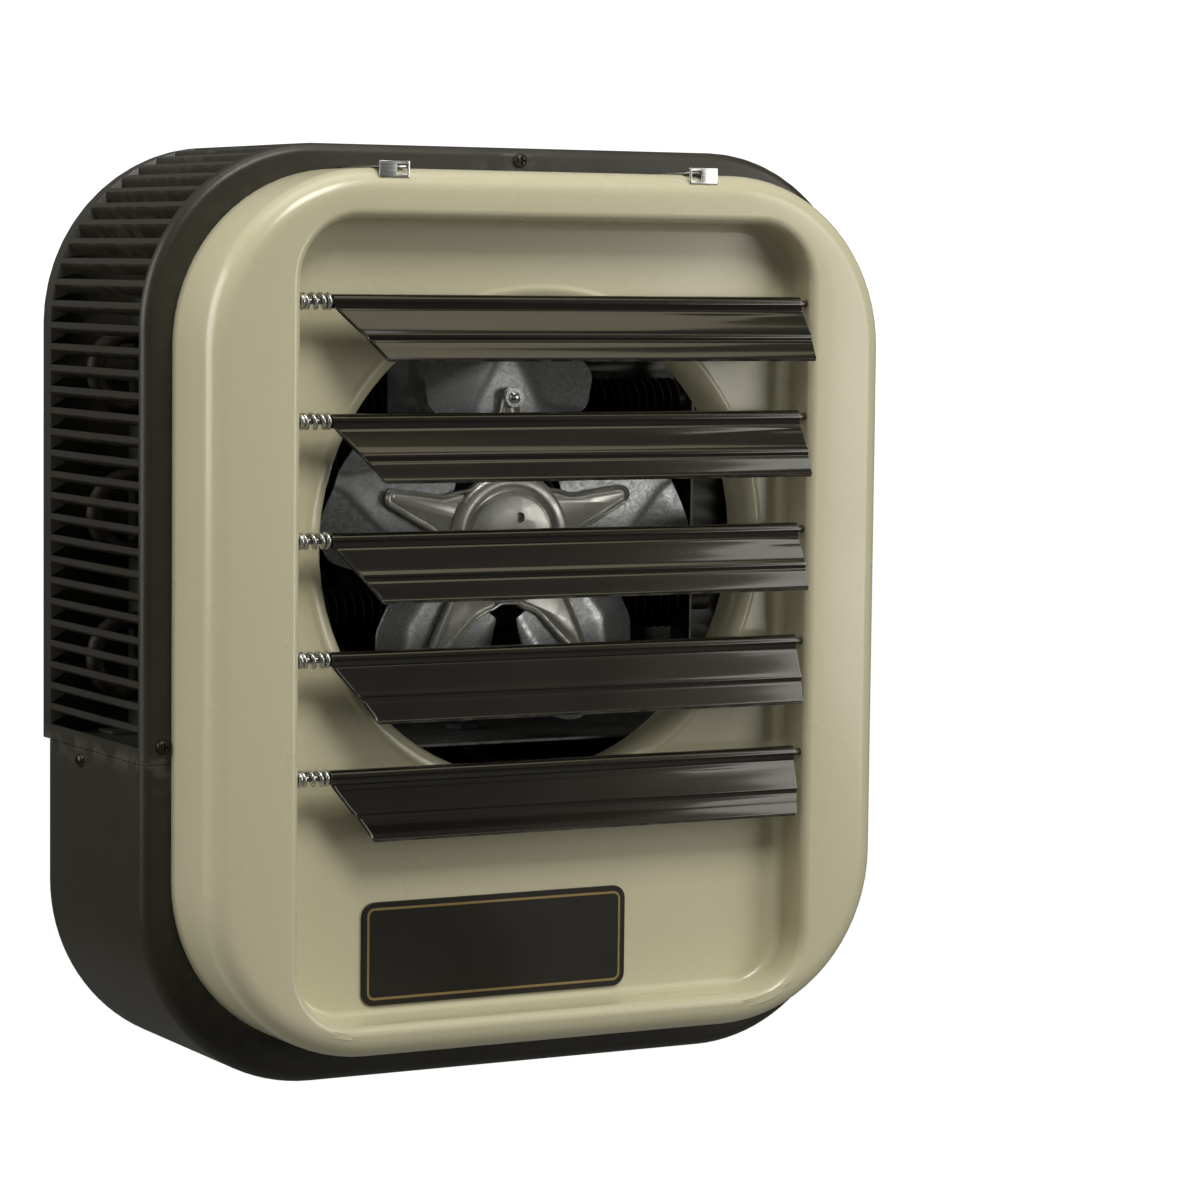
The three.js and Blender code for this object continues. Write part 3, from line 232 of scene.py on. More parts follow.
class Effect(Enum):
    """The surface effects that the finishes share: name, builder, first inputs and outputs."""

    BAKED_COAT = ("baked coat", baked_coat, {"Ripple": 420.0, "Patches": 14.0},
                  ("Height", "Gloss", "Tone"))
    SPANGLE = ("zinc spangle", zinc_spangle, {"Crystals": 150.0}, ("Tone", "Height"))
    DRAWN_GRAIN = ("drawn grain", drawn_grain, {"Fineness": 900.0}, ("Height", "Tone"))
    SETTLED_DUST = ("settled dust", settled_dust, {"Amount": 0.3}, ("Mask",))
    RUBBED_EDGES = ("rubbed edges", edge_wear_and_highlight_mask, {"Amount": 0.5}, ("Mask",))

    def group(self) -> bpy.types.NodeTree:
        """Returns: the effect's node group, built on its first use."""
        name, build, inputs, outputs = self.value
        known = bpy.data.node_groups.get(name)
        if known:
            return known
        group = bpy.data.node_groups.new(name, "ShaderNodeTree")
        for way, labels in (("INPUT", inputs), ("OUTPUT", outputs)):
            for label in labels:
                socket = group.interface.new_socket(label, in_out=way, socket_type="NodeSocketFloat")
                socket.default_value = inputs.get(label, 0.0)
        given, out = group.nodes.new("NodeGroupInput"), group.nodes.new("NodeGroupOutput")
        tree = Tree(group)
        made = build(tree, *(given.outputs[label] for label in inputs))
        tree.fill(out, dict(zip(outputs, made)))
        return group


WHITE, DUST_COLOUR = (1.0, 1.0, 1.0, 1.0), (0.32, 0.30, 0.25)


@dataclass(frozen=True)
class Finish:
    """A finish of the heater: its colours, gloss and the surface effects on it.

    Attributes:
        name: the material's name.
        slot: the record's material slot; not used here.
        colour: its colour, linear.
        second: the colour its tone drifts towards.
        gloss: lowest and highest roughness.
        metallic: 0 for paint and plastic, 1 for bare metal.
        specular: the Principled shader's specular level.
        coat: weight of a clear coat.
        coat_roughness: roughness of that coat.
        surface: the main effect.
        fineness: the main effect's first input.
        bump: height of the effect, in metres.
        dust: how much dust lies on it.
        wear_and_highlight_colour: colour at the marked edges, for bare metal where the coat is thin and
            for a painted highlight.
        rub: how strongly the edges take that colour.
    """

    name: str
    slot: str
    colour: Point
    second: Point
    gloss: tuple[float, float]
    metallic: float = 0.0
    specular: float = 0.5
    coat: float = 0.0
    coat_roughness: float = 0.1
    surface: Effect = Effect.BAKED_COAT
    fineness: float = 420.0
    bump: float = 0.00004
    dust: float = 0.0
    wear_and_highlight_colour: Point = (0.3, 0.29, 0.27)
    rub: float = 0.0

    def material(self) -> bpy.types.Material:
        """Returns: the finish as a material, built on its first use."""
        known = bpy.data.materials.get(self.name)
        if known:
            return known
        material = bpy.data.materials.new(self.name)
        material.use_nodes = True
        tree = Tree(material.node_tree)
        shader = material.node_tree.nodes["Principled BSDF"]
        effect = tree.add("Group", node_tree=self.surface.group())
        effect.inputs[0].default_value = self.fineness
        tone, height = effect.outputs["Tone"], effect.outputs["Height"]
        gloss = effect.outputs["Gloss"] if self.surface is Effect.BAKED_COAT else tone
        colour = tree.mix(tone, self.colour, self.second)
        spread = {"Value": gloss, "To Min": self.gloss[0], "To Max": self.gloss[1]}
        roughness = tree.add("MapRange", spread).outputs[0]
        # Edges lightened towards the edge colour: partly wear, partly a painted highlight.
        if self.rub:
            wear_and_highlight = tree.add("Group", {"Amount": self.rub}, node_tree=Effect.RUBBED_EDGES.group())
            colour = tree.mix(wear_and_highlight.outputs[0], colour, self.wear_and_highlight_colour)
        if self.dust:
            dust = tree.add("Group", {"Amount": self.dust}, node_tree=Effect.SETTLED_DUST.group())
            colour = tree.mix(dust.outputs[0], colour, DUST_COLOUR)
            roughness = tree.math("ADD", roughness, tree.math("MULTIPLY", dust.outputs[0], 0.5))
        bump = tree.add("Bump", {"Height": height, "Distance": self.bump, "Strength": 1.0}).outputs[0]
        tree.fill(shader, {"Base Color": colour, "Roughness": roughness, "Normal": bump,
                           "Metallic": self.metallic, "Specular IOR Level": self.specular,
                           "Coat Weight": self.coat, "Coat Roughness": self.coat_roughness})
        return material


CREAM_ENAMEL = Finish("cream enamel", "cream_enamel", (0.60, 0.565, 0.385), (0.57, 0.535, 0.36),
                      (0.26, 0.34), coat=0.35, coat_roughness=0.12, fineness=260.0, bump=0.00005)
# The edge colours below are lighter than their coats: wear, and also a painted highlight along the edges.
CASING_BRONZE = Finish("casing bronze enamel", "bronze_paint", (0.021, 0.0188, 0.0115),
                       (0.028, 0.0252, 0.0158), (0.34, 0.44), specular=0.45, fineness=520.0, bump=0.00005,
                       dust=0.05, wear_and_highlight_colour=(0.12, 0.115, 0.095), rub=0.5)
LOUVRE_BRONZE = Finish("louvre bronze enamel", "louvre_bronze", (0.020, 0.0165, 0.009),
                       (0.015, 0.0125, 0.007), (0.18, 0.23), metallic=0.8, coat=1.0, coat_roughness=0.07,
                       fineness=700.0, bump=0.00002, wear_and_highlight_colour=(0.20, 0.19, 0.165), rub=0.7)
BRIGHT_ZINC = Finish("bright zinc plate", "zinc_plate", (0.66, 0.66, 0.64), (0.50, 0.50, 0.48),
                     (0.2, 0.34), metallic=1.0, surface=Effect.DRAWN_GRAIN, fineness=1400.0, bump=0.00001)
# The rods' zinc is a darker copy of the bright zinc, as painted shade: their ends sit in the dark gaps
# beside the louvres.
SHADED_ROD_ZINC = Finish("dull rod zinc", "zinc_plate", (0.30, 0.29, 0.26), (0.20, 0.19, 0.17),
                  (0.3, 0.45), metallic=1.0, surface=Effect.DRAWN_GRAIN, fineness=1400.0, bump=0.00001)
GALVANISED = Finish("galvanised sheet", "galvanised", (0.66, 0.65, 0.60), (0.46, 0.455, 0.42),
                    (0.3, 0.5), metallic=0.9, surface=Effect.SPANGLE, fineness=170.0, bump=0.00002)
SHELF_ZINC = Finish("dull shelf zinc", "galvanised", (0.16, 0.16, 0.15), (0.10, 0.10, 0.095),
                    (0.4, 0.6), metallic=0.8, surface=Effect.SPANGLE, fineness=170.0, bump=0.00002)
BLADE_ZINC = Finish("fan blade sheet", "galvanised", (0.50, 0.51, 0.505), (0.24, 0.25, 0.25),
                    (0.26, 0.46), metallic=0.9, surface=Effect.SPANGLE, fineness=900.0, bump=0.00002)
MOTOR_ENAMEL = Finish("motor black enamel", "motor_black", (0.010, 0.010, 0.010), (0.016, 0.0155, 0.015),
                      (0.4, 0.55), fineness=500.0, dust=0.15)
HEATED_STEEL = Finish("heat browned steel", "element_sheath", (0.055, 0.045, 0.034), (0.03, 0.027, 0.024),
                      (0.5, 0.7), metallic=0.7, surface=Effect.SPANGLE, fineness=260.0, bump=0.00002)
MOULDED_BLACK = Finish("moulded black plastic", "black_plastic", (0.017, 0.017, 0.017),
                       (0.025, 0.025, 0.024), (0.45, 0.6), specular=0.4, fineness=1500.0, bump=0.00003)
PLATE_BLACK = Finish("plate black enamel", "plate_black", (0.0105, 0.0085, 0.0048),
                     (0.014, 0.0115, 0.0065), (0.3, 0.42), specular=0.4, fineness=600.0, bump=0.00002)
GOLD_LINE = Finish("gold border line", "plate_black", (0.40, 0.29, 0.12), (0.30, 0.21, 0.085),
                   (0.3, 0.45), metallic=0.7, fineness=900.0, bump=0.00001)
BLACK_SCREW = Finish("blackened screw", "black_zinc", (0.03, 0.027, 0.022), (0.05, 0.046, 0.04),
                     (0.28, 0.42), metallic=0.8, fineness=900.0, bump=0.00002,
                     wear_and_highlight_colour=(0.25, 0.24, 0.22), rub=0.7)


@dataclass
class Skin:
    """Points in millimetres and the faces between them, gathered before a mesh is made."""

    points: list[Point] = field(default_factory=list)
    faces: list[tuple[int, ...]] = field(default_factory=list)

    def rings(self, rings: Sequence[Ring], around: bool = True, along: bool = False,
              keep: Optional[Callable[[int, int], bool]] = None, caps: bool = False) -> list[list[int]]:
        """Skin rings of equal count.

        Args:
            rings: rows of points.
            around: whether each row closes on itself.
            along: whether the last row joins the first.
            keep: tells, by row and column, whether a face is made.
            caps: whether the first and last rows are filled.

        Returns:
            The point numbers, row by row.
        """
        start, count = len(self.points), len(rings[0])
        rows = [[start + row * count + place for place in range(count)] for row in range(len(rings))]
        for ring in rings:
            self.points.extend(ring)
        for row in range(len(rings) if along else len(rings) - 1):
            low, high = rows[row], rows[(row + 1) % len(rings)]
            for place in range(count if around else count - 1):
                turn = (place + 1) % count
                if keep is None or keep(row, place):
                    self.faces.append((low[place], low[turn], high[turn], high[place]))
        if caps:
            self.faces.append(tuple(reversed(rows[0])))
            self.faces.append(tuple(rows[-1]))
        return rows

    def lathe(self, profile: Sequence[tuple[float, float]], sides: int, axis: str = "y",
              centre: Point = (0, 0, 0), closed: bool = False) -> None:
        """Turn a profile round an axis.

        Args:
            profile: (radius, place along the axis) pairs.
            sides: how many sides make the circle.
            axis: "x", "y" or "z".
            centre: where the axis passes.
            closed: whether the profile's last point joins its first.
        """
        def ring(radius: float, along: float) -> Ring:
            """Returns: the circle of one profile point."""
            made = []
            for a, b in arc((0, 0), radius, 0, 360, sides)[:-1]:
                offset = {"x": (along, a, b), "y": (a, along, b), "z": (a, b, along)}[axis]
                made.append(tuple(c + o for c, o in zip(centre, offset)))
            return made
        self.rings([ring(radius, along) for radius, along in profile], along=closed, caps=not closed)

    @classmethod
    def ringed(cls, rings: Sequence[Ring], **how: object) -> "Skin":
        """Returns: a new skin over rows of points, with the options of rings."""
        skin = cls()
        skin.rings(rings, **how)
        return skin

    @classmethod
    def turned(cls, profile: Sequence[tuple[float, float]], sides: int, axis: str = "y",
               centre: Point = (0, 0, 0), closed: bool = False) -> "Skin":
        """Returns: a new skin of one turned shape, given as for lathe."""
        skin = cls()
        skin.lathe(profile, sides, axis, centre, closed)
        return skin

    @classmethod
    def swept(cls, path: Sequence[Point], radius: float, sides: int) -> "Skin":
        """Sweep a circle along a path and close its ends.

        Args:
            path: the centre line.
            radius: the tube's radius.
            sides: how many sides the circle has.

        Returns:
            A new skin of that tube.
        """
        line = [Vector(point) for point in path]
        across = None
        rings = []
        for number, point in enumerate(line):
            before, after = line[max(number - 1, 0)], line[min(number + 1, len(line) - 1)]
            along = (after - before).normalized()
            if across is None:
                across = along.orthogonal().normalized()
            across = (across - along * across.dot(along)).normalized()
            other = along.cross(across)
            rings.append([tuple(point + across * a + other * b)
                          for a, b in arc((0, 0), radius, 0, 360, sides)[:-1]])
        return cls.ringed(rings, caps=True)

    def block(self, low: Point, high: Point) -> None:
        """Add a box between its lowest and its highest corner."""
        corners = ((low[0], low[1]), (high[0], low[1]), (high[0], high[1]), (low[0], high[1]))
        self.rings([[(x, y, z) for x, y in corners] for z in (low[2], high[2])], caps=True)


def bake(piece: bpy.types.Object, sharp: float) -> None:
    """Turn a piece's modifiers into its mesh and shade it smooth up to an angle.

    Args:
        piece: the mesh object.
        sharp: degrees from which an edge stays sharp.
    """
    mesh = bpy.data.meshes.new_from_object(piece.evaluated_get(bpy.context.evaluated_depsgraph_get()))
    piece.modifiers.clear()
    plain, piece.data = piece.data, mesh
    bpy.data.meshes.remove(plain)
    mesh.name = piece.name
    mesh.polygons.foreach_set("use_smooth", [True] * len(mesh.polygons))
    mesh.set_sharp_from_angle(angle=math.radians(sharp))


@dataclass
class Make:
    """How a skin becomes a piece.

    Attributes:
        body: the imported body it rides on.
        sheet: thickness given to the skin behind its face, in millimetres; 0 keeps it as it is.
        bevel: width of the rounding on its sharp edges, in millimetres.
        sharp: degrees from which an edge is shaded sharp.
        cutters: closed skins taken out of it.
    """

    body: str = "root"
    sheet: float = 0.0
    bevel: float = 0.0
    sharp: float = 40.0
    cutters: Sequence[Skin] = ()

    def mesh(self, name: str, skin: Skin) -> bpy.types.Object:
        """Args:
            name: the object's name.
            skin: its points and faces.

        Returns:
            The object, with its faces turned outwards.
        """
        mesh = bpy.data.meshes.new(name)
        mesh.from_pydata([tuple(value * MM for value in point) for point in skin.points], [], skin.faces)
        solid = bmesh.new()
        solid.from_mesh(mesh)
        bmesh.ops.remove_doubles(solid, verts=solid.verts, dist=WELD_DISTANCE)
        bmesh.ops.recalc_face_normals(solid, faces=solid.faces)
        solid.to_mesh(mesh)
        solid.free()
        piece = bpy.data.objects.new(name, mesh)
        bpy.context.scene.collection.objects.link(piece)
        return piece

    def piece(self, name: str, skin: Skin, finish: Finish, *nodes: str) -> bpy.types.Object:
        """Args:
            name: the object's name.
            skin: its points and faces.
            finish: its finish.
            nodes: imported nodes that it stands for.

        Returns:
            The dressed piece, riding on its body.
        """
        piece = self.mesh(name, skin)
        if self.sheet:
            solidify = piece.modifiers.new("sheet", "SOLIDIFY")
            solidify.thickness, solidify.offset = self.sheet * MM, -1
        tools = [Make().mesh(f"{name}_tool_{number}", tool) for number, tool in enumerate(self.cutters)]
        for tool in tools:
            cut = piece.modifiers.new("cut", "BOOLEAN")
            cut.operation, cut.object, cut.solver = "DIFFERENCE", tool, "EXACT"
        if self.bevel:
            bevel = piece.modifiers.new("bevel", "BEVEL")
            bevel.width, bevel.segments, bevel.limit_method = self.bevel * MM, 2, "ANGLE"
            bevel.angle_limit = math.radians(BEVEL_FROM_DEGREES)
        bake(piece, self.sharp)
        for tool in tools:
            bpy.data.objects.remove(tool)
        piece.data.materials.clear()
        piece.data.materials.append(finish.material())
        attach(piece, self.body)
        if nodes:
            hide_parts(*nodes)
        return piece


def angles(start: float, end: float, steps: int) -> list[float]:
    """Returns: evenly spaced angles in radians, from limits in degrees that are both included."""
    return [math.radians(start + (end - start) * step / steps) for step in range(steps + 1)]


def arc(centre: tuple[float, float], radius: float, start: float, end: float, steps: int) -> list:
    """Returns: (a, b) pairs on an arc between two angles in degrees, both ends included."""
    return [(centre[0] + radius * math.cos(turn), centre[1] + radius * math.sin(turn))
            for turn in angles(start, end, steps)]


@dataclass(frozen=True)
class Outline:
    """A rounded rectangle in X and Z.

    Attributes:
        half_width: half its width.
        top: its upper edge.
        bottom: its lower edge.
        corner: the radius of its corners.
        centre: its middle in X.
    """

    half_width: float
    top: float
    bottom: float
    corner: float
    centre: float = 0.0

    def points(self, inset: float = 0.0, turns: int = 18, sides: int = 24, flats: int = 14) -> list:
        """Args:
            inset: how far it is drawn in.
            turns: spans on each corner.
            sides: spans on each upright edge.
            flats: spans on each level edge.

        Returns:
            (x, z) pairs round the outline, from the lower end of the right edge's corner.
        """
        corner = max(self.corner - inset, 0.4)
        right = self.half_width - inset - corner
        high, low = self.top - inset - corner, self.bottom + inset + corner
        corners = [(right, low), (right, high), (-right, high), (-right, low)]
        curves = [arc((self.centre + x, z), corner, 90 * (quarter - 1), 90 * quarter, turns)
                  for quarter, (x, z) in enumerate(corners)]
        made: list = []
        for quarter, curve in enumerate(curves):
            following, spans = curves[(quarter + 1) % 4][0], flats if quarter % 2 else sides
            made += curve + [tuple(a + (b - a) * step / spans for a, b in zip(curve[-1], following))
                             for step in range(1, spans)]
        return made

    def ring(self, inset: float, y: float, *spans: int) -> Ring:
        """Returns: the outline's points, drawn in by an inset, at the depth y."""
        return [(x, y, z) for x, z in self.points(inset, *spans)]


CASING_OUTLINE = Outline(178.0, 0.0, -408.0, 80.0)


def plate_skin(loops: Sequence[Sequence[tuple[float, float]]], front: float, back: float,
               round_off: float) -> Skin:
    """A flat plate across Y with holes and rounded edges.

    Args:
        loops: the outline and its holes as (x, z) pairs.
        front: its front face in Y.
        back: its back face in Y.
        round_off: the radius of its edges.

    Returns:
        The plate's skin.
    """
    curve = bpy.data.curves.new("plate", "CURVE")
    curve.dimensions, curve.fill_mode = "2D", "BOTH"
    curve.extrude, curve.bevel_depth = (back - front) / 2 - round_off, round_off
    curve.bevel_resolution, curve.offset = 1, -round_off
    for loop in loops:
        spline = curve.splines.new("POLY")
        spline.points.add(len(loop) - 1)
        for point, (x, z) in zip(spline.points, loop):
            point.co = (x, z, 0.0, 1.0)
        spline.use_cyclic_u = True
    holder = bpy.data.objects.new("plate", curve)
    bpy.context.scene.collection.objects.link(holder)
    mesh = bpy.data.meshes.new_from_object(holder.evaluated_get(bpy.context.evaluated_depsgraph_get()))
    middle = (front + back) / 2
    skin = Skin([(v.co.x, middle - v.co.z, v.co.y) for v in mesh.vertices],
                [tuple(face.vertices) for face in mesh.polygons])
    bpy.data.objects.remove(holder)
    bpy.data.curves.remove(curve)
    bpy.data.meshes.remove(mesh)
    return skin


def circle(x: float, z: float, radius: float, sides: int = 28) -> list:
    """Returns: (x, z) pairs round a hole."""
    return arc((x, z), radius, 0, 360, sides)[:-1]


def long_slot(x: float, z: float, length: float, height: float) -> list:
    """Returns: (x, z) pairs round a slot with round ends."""
    reach = (length - height) / 2
    return (arc((x + reach, z), height / 2, -90, 90, 8) + arc((x - reach, z), height / 2, 90, 270, 8))


@dataclass
class Casing:
    """The bronze casing: a slotted hood over a plain lower wrap, each with flange and rear rim."""

    width: float = 356.0
    bottom: float = -408.0
    corner: float = 80.0
    seam: float = -265.0
    flange: float = 24.0
    rim: float = 9.0
    sheet: float = 1.1
    side_slots: int = 19
    corner_slots: int = 13
    bar: float = 2.6
    foot: float = 5.6
    slot_front: float = -54.0
    slot_rear: float = 48.0
    edge_radius: float = 4.6
    rear_radius: float = 2.5
    flap_lean: float = 68.0
    hanger_spacing: float = 152.0
    tab_middle: float = 60.0
    tab_half: float = 10.0
    tab_front: float = -80.0

    def station(self, x: float, z: float, angle: float) -> tuple[Vector, Vector]:
        """Returns: a point of the outline and its outward normal, in degrees from +X towards +Z."""
        turn = math.radians(angle)
        return Vector((x, 0, z)), Vector((math.cos(turn), 0, math.sin(turn)))

    @staticmethod
    def mirrored(stations: list) -> list:
        """Returns: the stations of the other side, in reverse order."""
        return [(Vector((-p.x, 0, p.z)), Vector((-n.x, 0, n.z))) for p, n in reversed(stations)]

    def side_of_hood(self) -> tuple[list, set[int]]:
        """Stations up the right side and round its corner.

        Returns:
            The stations from the seam to the start of the flat top, and the numbers of the slots'
            lower stations.
        """
        half, made, slots = self.width / 2, [], set()
        made.append(self.station(half, self.seam + 0.15, 0))
        length = -self.seam - self.foot - self.corner
        pitch = length / self.side_slots
        for slot in range(self.side_slots):
            middle = -self.corner - length + (slot + 0.5) * pitch
            reach = (pitch - self.bar) / 2
            slots.add(len(made))
            made += [self.station(half, middle + way * reach, 0) for way in (-1, 1)]
        facet = 90 / self.corner_slots
        share = 0.5 - self.bar / (2 * self.corner * math.radians(facet))
        for slot in range(self.corner_slots):
            middle = (slot + 0.5) * facet
            slots.add(len(made))
            for angle in (middle - share * facet, middle + share * facet):
                turn = math.radians(angle)
                x = half - self.corner + self.corner * math.cos(turn)
                made.append(self.station(x, -self.corner + self.corner * math.sin(turn), angle))
        made.append(self.station(half - self.corner, 0, 90))
        return made, slots

    def profile(self, back: float) -> list[tuple[float, float]]:
        """Args:
            back: the rear face in Y.

        Returns:
            (y, inset) pairs over the rear rim, the wall and the flange.
        """
        roll = self.rear_radius
        rear = [(back - roll + roll * math.sin(math.radians(t)), roll - roll * math.cos(math.radians(t)))
                for t in (90, 68, 45, 22, 0)]
        wall = [(self.slot_rear, 0.0), (self.slot_front, 0.0)]
        radius = self.edge_radius
        front = [(CASING_FRONT + radius - radius * math.sin(math.radians(t)),
                  radius - radius * math.cos(math.radians(t))) for t in (0, 12, 25, 38, 52, 65, 78, 90)]
        return [(back, self.rim)] + rear + wall + front + [(CASING_FRONT, self.flange)]

    @staticmethod
    def row(station: tuple[Vector, Vector], profile: list[tuple[float, float]]) -> Ring:
        """Returns: a profile's points, given as (y, inset) pairs, at a station."""
        place, normal = station
        return [tuple(place - normal * inset + Vector((0, y, 0))) for y, inset in profile]

    def flap(self, skin: Skin, lower: tuple[Vector, Vector], upper: tuple[Vector, Vector]) -> None:
        """Bend one slot's metal inwards from its upper edge, with a gusset at each end.

        Args:
            skin: the hood's skin.
            lower: the station at the slot's lower edge.
            upper: the station at its upper edge.
        """
        edge, inward = upper[0], -(lower[1] + upper[1]).normalized()
        down = (lower[0] - upper[0]).normalized()
        reach = (lower[0] - upper[0]).length * 1.02
        front, rear = self.slot_front, self.slot_rear
        rows = []
        bends = ((0.0, 0.0, 0), (0.25, 0.6, self.flap_lean * 0.75), (1.0, 2.4, self.flap_lean))
        for part, cut, lean in bends:
            turn = math.radians(lean)
            place = edge + (down * math.cos(turn) + inward * math.sin(turn)) * reach * part
            spans = [rear - cut, (rear - cut) * 0.5, 0.0, (front + cut) * 0.5, front + cut]
            rows.append([tuple(place + Vector((0, y, 0))) for y in spans])
        made = skin.rings(rows, around=False)
        for side, y in ((0, rear), (-1, front)):
            skin.points.append(tuple(lower[0] + Vector((0, y, 0))))
            corner = len(skin.points) - 1
            for row in range(2):
                skin.faces.append((corner, made[row][side], made[row + 1][side]))

    def hood(self) -> Skin:
        """Returns: the slotted hood's skin."""
        side, slots = self.side_of_hood()
        flat = [self.station(x, 0, 90) for x in (70, 44, 20, 0, -20, -44, -70)]
        stations = side + flat + self.mirrored(side)
        last = len(stations) - 1
        gaps = slots | {last - number - 1 for number in slots}
        profile = self.profile(CASING_REAR)
        wall = profile.index((self.slot_rear, 0.0))
        skin = Skin()
        skin.rings([self.row(station, profile) for station in stations], around=False,
                   keep=lambda row, place: not (row in gaps and place == wall))
        for number in slots:
            self.flap(skin, stations[number], stations[number + 1])
            self.flap(skin, stations[last - number], stations[last - number - 1])
        return skin

    def wrap(self) -> Skin:
        """Returns: the lower wrap's skin."""
        half, made = self.width / 2, []
        low = self.bottom + self.corner
        for step in range(6):
            made.append(self.station(half, self.seam - 0.15 + (low - self.seam) * step / 6, 0))
        for turn in angles(0, -90, 24):
            x = half - self.corner + self.corner * math.cos(turn)
            made.append(self.station(x, low + self.corner * math.sin(turn), math.degrees(turn)))
        flat = [self.station(x, self.bottom, -90) for x in (60, 25, 0, -25, -60)]
        skin = Skin()
        profile = [pair for pair in self.profile(COVER_REAR) if pair != (self.slot_rear, 0.0)]
        skin.rings([self.row(station, profile) for station in made + flat + self.mirrored(made)],
                   around=False)
        return skin

    def holes(self, places: Sequence[tuple[float, float, float]], radius: float, axis: str) -> list[Skin]:
        """Returns: a cutter for each hole, given by its middle, along an axis."""
        return [Skin.turned([(radius, -4), (radius, 4)], 24, axis, place) for place in places]

    def build(self) -> None:
        """Build the hood, the lower wrap with its two tabs, and dress them."""
        aside, height = LOWER_SCREWS
        screws = [(0, CASING_FRONT, TOP_SCREW), (-aside, CASING_FRONT, height),
                  (aside, CASING_FRONT, height)]
        hangers = [(side * self.hanger_spacing / 2, 0, 0) for side in (-1, 1)]
        cutters = self.holes(screws, 2.1, "y") + self.holes(hangers, 4.5, "z")
        hood = Make(sheet=self.sheet, cutters=cutters, sharp=32)
        hood.piece("hood_skin", self.hood(), CASING_BRONZE, "upper_casing")
        wrap = self.wrap()
        for side in (-self.tab_middle, self.tab_middle):
            wrap.block((side - self.tab_half, self.tab_front, -390.2),
                       (side + self.tab_half, CASING_FRONT + 0.6, -389.1))
        sides = [(side * self.width / 2, SIDE_SCREW_DEPTH, self.seam - 5.4) for side in (-1, 1)]
        lower = Make(sheet=self.sheet, cutters=self.holes(sides, 2.1, "x"), sharp=32)
        lower.piece("lower_wrap_skin", wrap, CASING_BRONZE, "lower_casing")


@dataclass
class RearPlates:
    """The slotted rear panel, the wiring cover below it and the bush of the supply entry."""

    inset: float = 1.5
    cut_gap: float = 3.0
    back: float = 57.5
    cover_back: float = 49.5
    sheet: float = 1.2
    foot: float = -263.5
    cover_top: float = -265.3
    screw_x: float = 173.0
    screw_hole: float = 2.2
    first_drop: float = 70.0
    pitch: float = 18.0
    lowest: float = -249.5
    columns: tuple[float, ...] = (-76.0, 0.0, 76.0)
    slot_length: float = 64.0
    slot_height: float = 7.0
    hood_depth: float = 4.6
    entry: tuple[float, float] = (-90.0, -335.0)
    entry_radius: float = 11.2

    def clipped(self, cut: float, side: int) -> list:
        """The casing's outline, drawn in and cut at a level.

        Args:
            cut: the height of the cut.
            side: 1 keeps what is above it and -1 what is below.

        Returns:
            (x, z) pairs.
        """
        points, half = CASING_OUTLINE.points(self.inset), CASING_OUTLINE.half_width - self.inset
        kept = [point for point in points if side * (point[1] - cut) > self.cut_gap]
        around = sorted(kept, key=lambda point: math.atan2(point[1] - cut, point[0]))
        return [(side * half, cut)] + around + [(-side * half, cut)]

    def hood(self, skin: Skin, x: float, z: float) -> None:
        """Add the hood pressed in behind a slot, open downwards.

        Args:
            skin: the skin it joins.
            x: the slot's middle in X.
            z: the slot's middle height.
        """
        half, face = self.slot_length / 2 + 1.5, self.back - self.sheet
        top, drop = z + self.slot_height / 2 + 0.8, self.slot_height + 1.2
        rings = []
        for turn in angles(0, 90, 7):
            ring = []
            for share in map(math.sin, angles(-90, 90, 20)):
                deep = self.hood_depth * (1 - abs(share) ** 6) * math.sin(turn)
                ring.append((x + half * share, face - deep, top - drop * (1 - math.cos(turn))))
            rings.append(ring)
        skin.rings(rings, around=False)

    def build(self) -> None:
        """Build the panel, the cover and the bush."""
        hoods = Skin()
        loops = [self.clipped(self.foot, 1)]
        height = -self.first_drop
        while height > self.lowest:
            for x in self.columns:
                loops.append(long_slot(x, height, self.slot_length, self.slot_height))
                self.hood(hoods, x, height)
            height -= self.pitch
        loops += [circle(side * self.screw_x, z, self.screw_hole)
                  for side in (-1, 1) for z in REAR_SCREWS]
        panel = plate_skin(loops, self.back - self.sheet, self.back, 0.25)
        Make(sharp=35).piece("rear_panel_sheet", panel, CASING_BRONZE, "rear_panel")
        Make(sheet=0.7, sharp=40).piece("rear_slot_hoods", hoods, CASING_BRONZE, "rear_panel")
        loops = [self.clipped(self.cover_top, -1), circle(*self.entry, self.entry_radius, 40)]
        loops += [circle(side * self.screw_x, COVER_SCREWS, self.screw_hole) for side in (-1, 1)]
        cover = plate_skin(loops, self.cover_back - self.sheet, self.cover_back, 0.25)
        Make(sharp=35).piece("wiring_cover_sheet", cover, CASING_BRONZE, "wiring_cover")
        bush = Skin.turned([(7.5, 43.3), (10.2, 43.3), (10.6, 43.8), (10.6, 49.8), (14.2, 49.8),
                            (14.2, 50.6), (13.2, 51.8), (8.4, 51.8), (7.7, 51.5), (7.5, 50.6)],
                           48, centre=(self.entry[0], 0, self.entry[1]), closed=True)
        Make(sharp=35).piece("supply_entry_bush", bush, MOULDED_BLACK, "supply_bush")


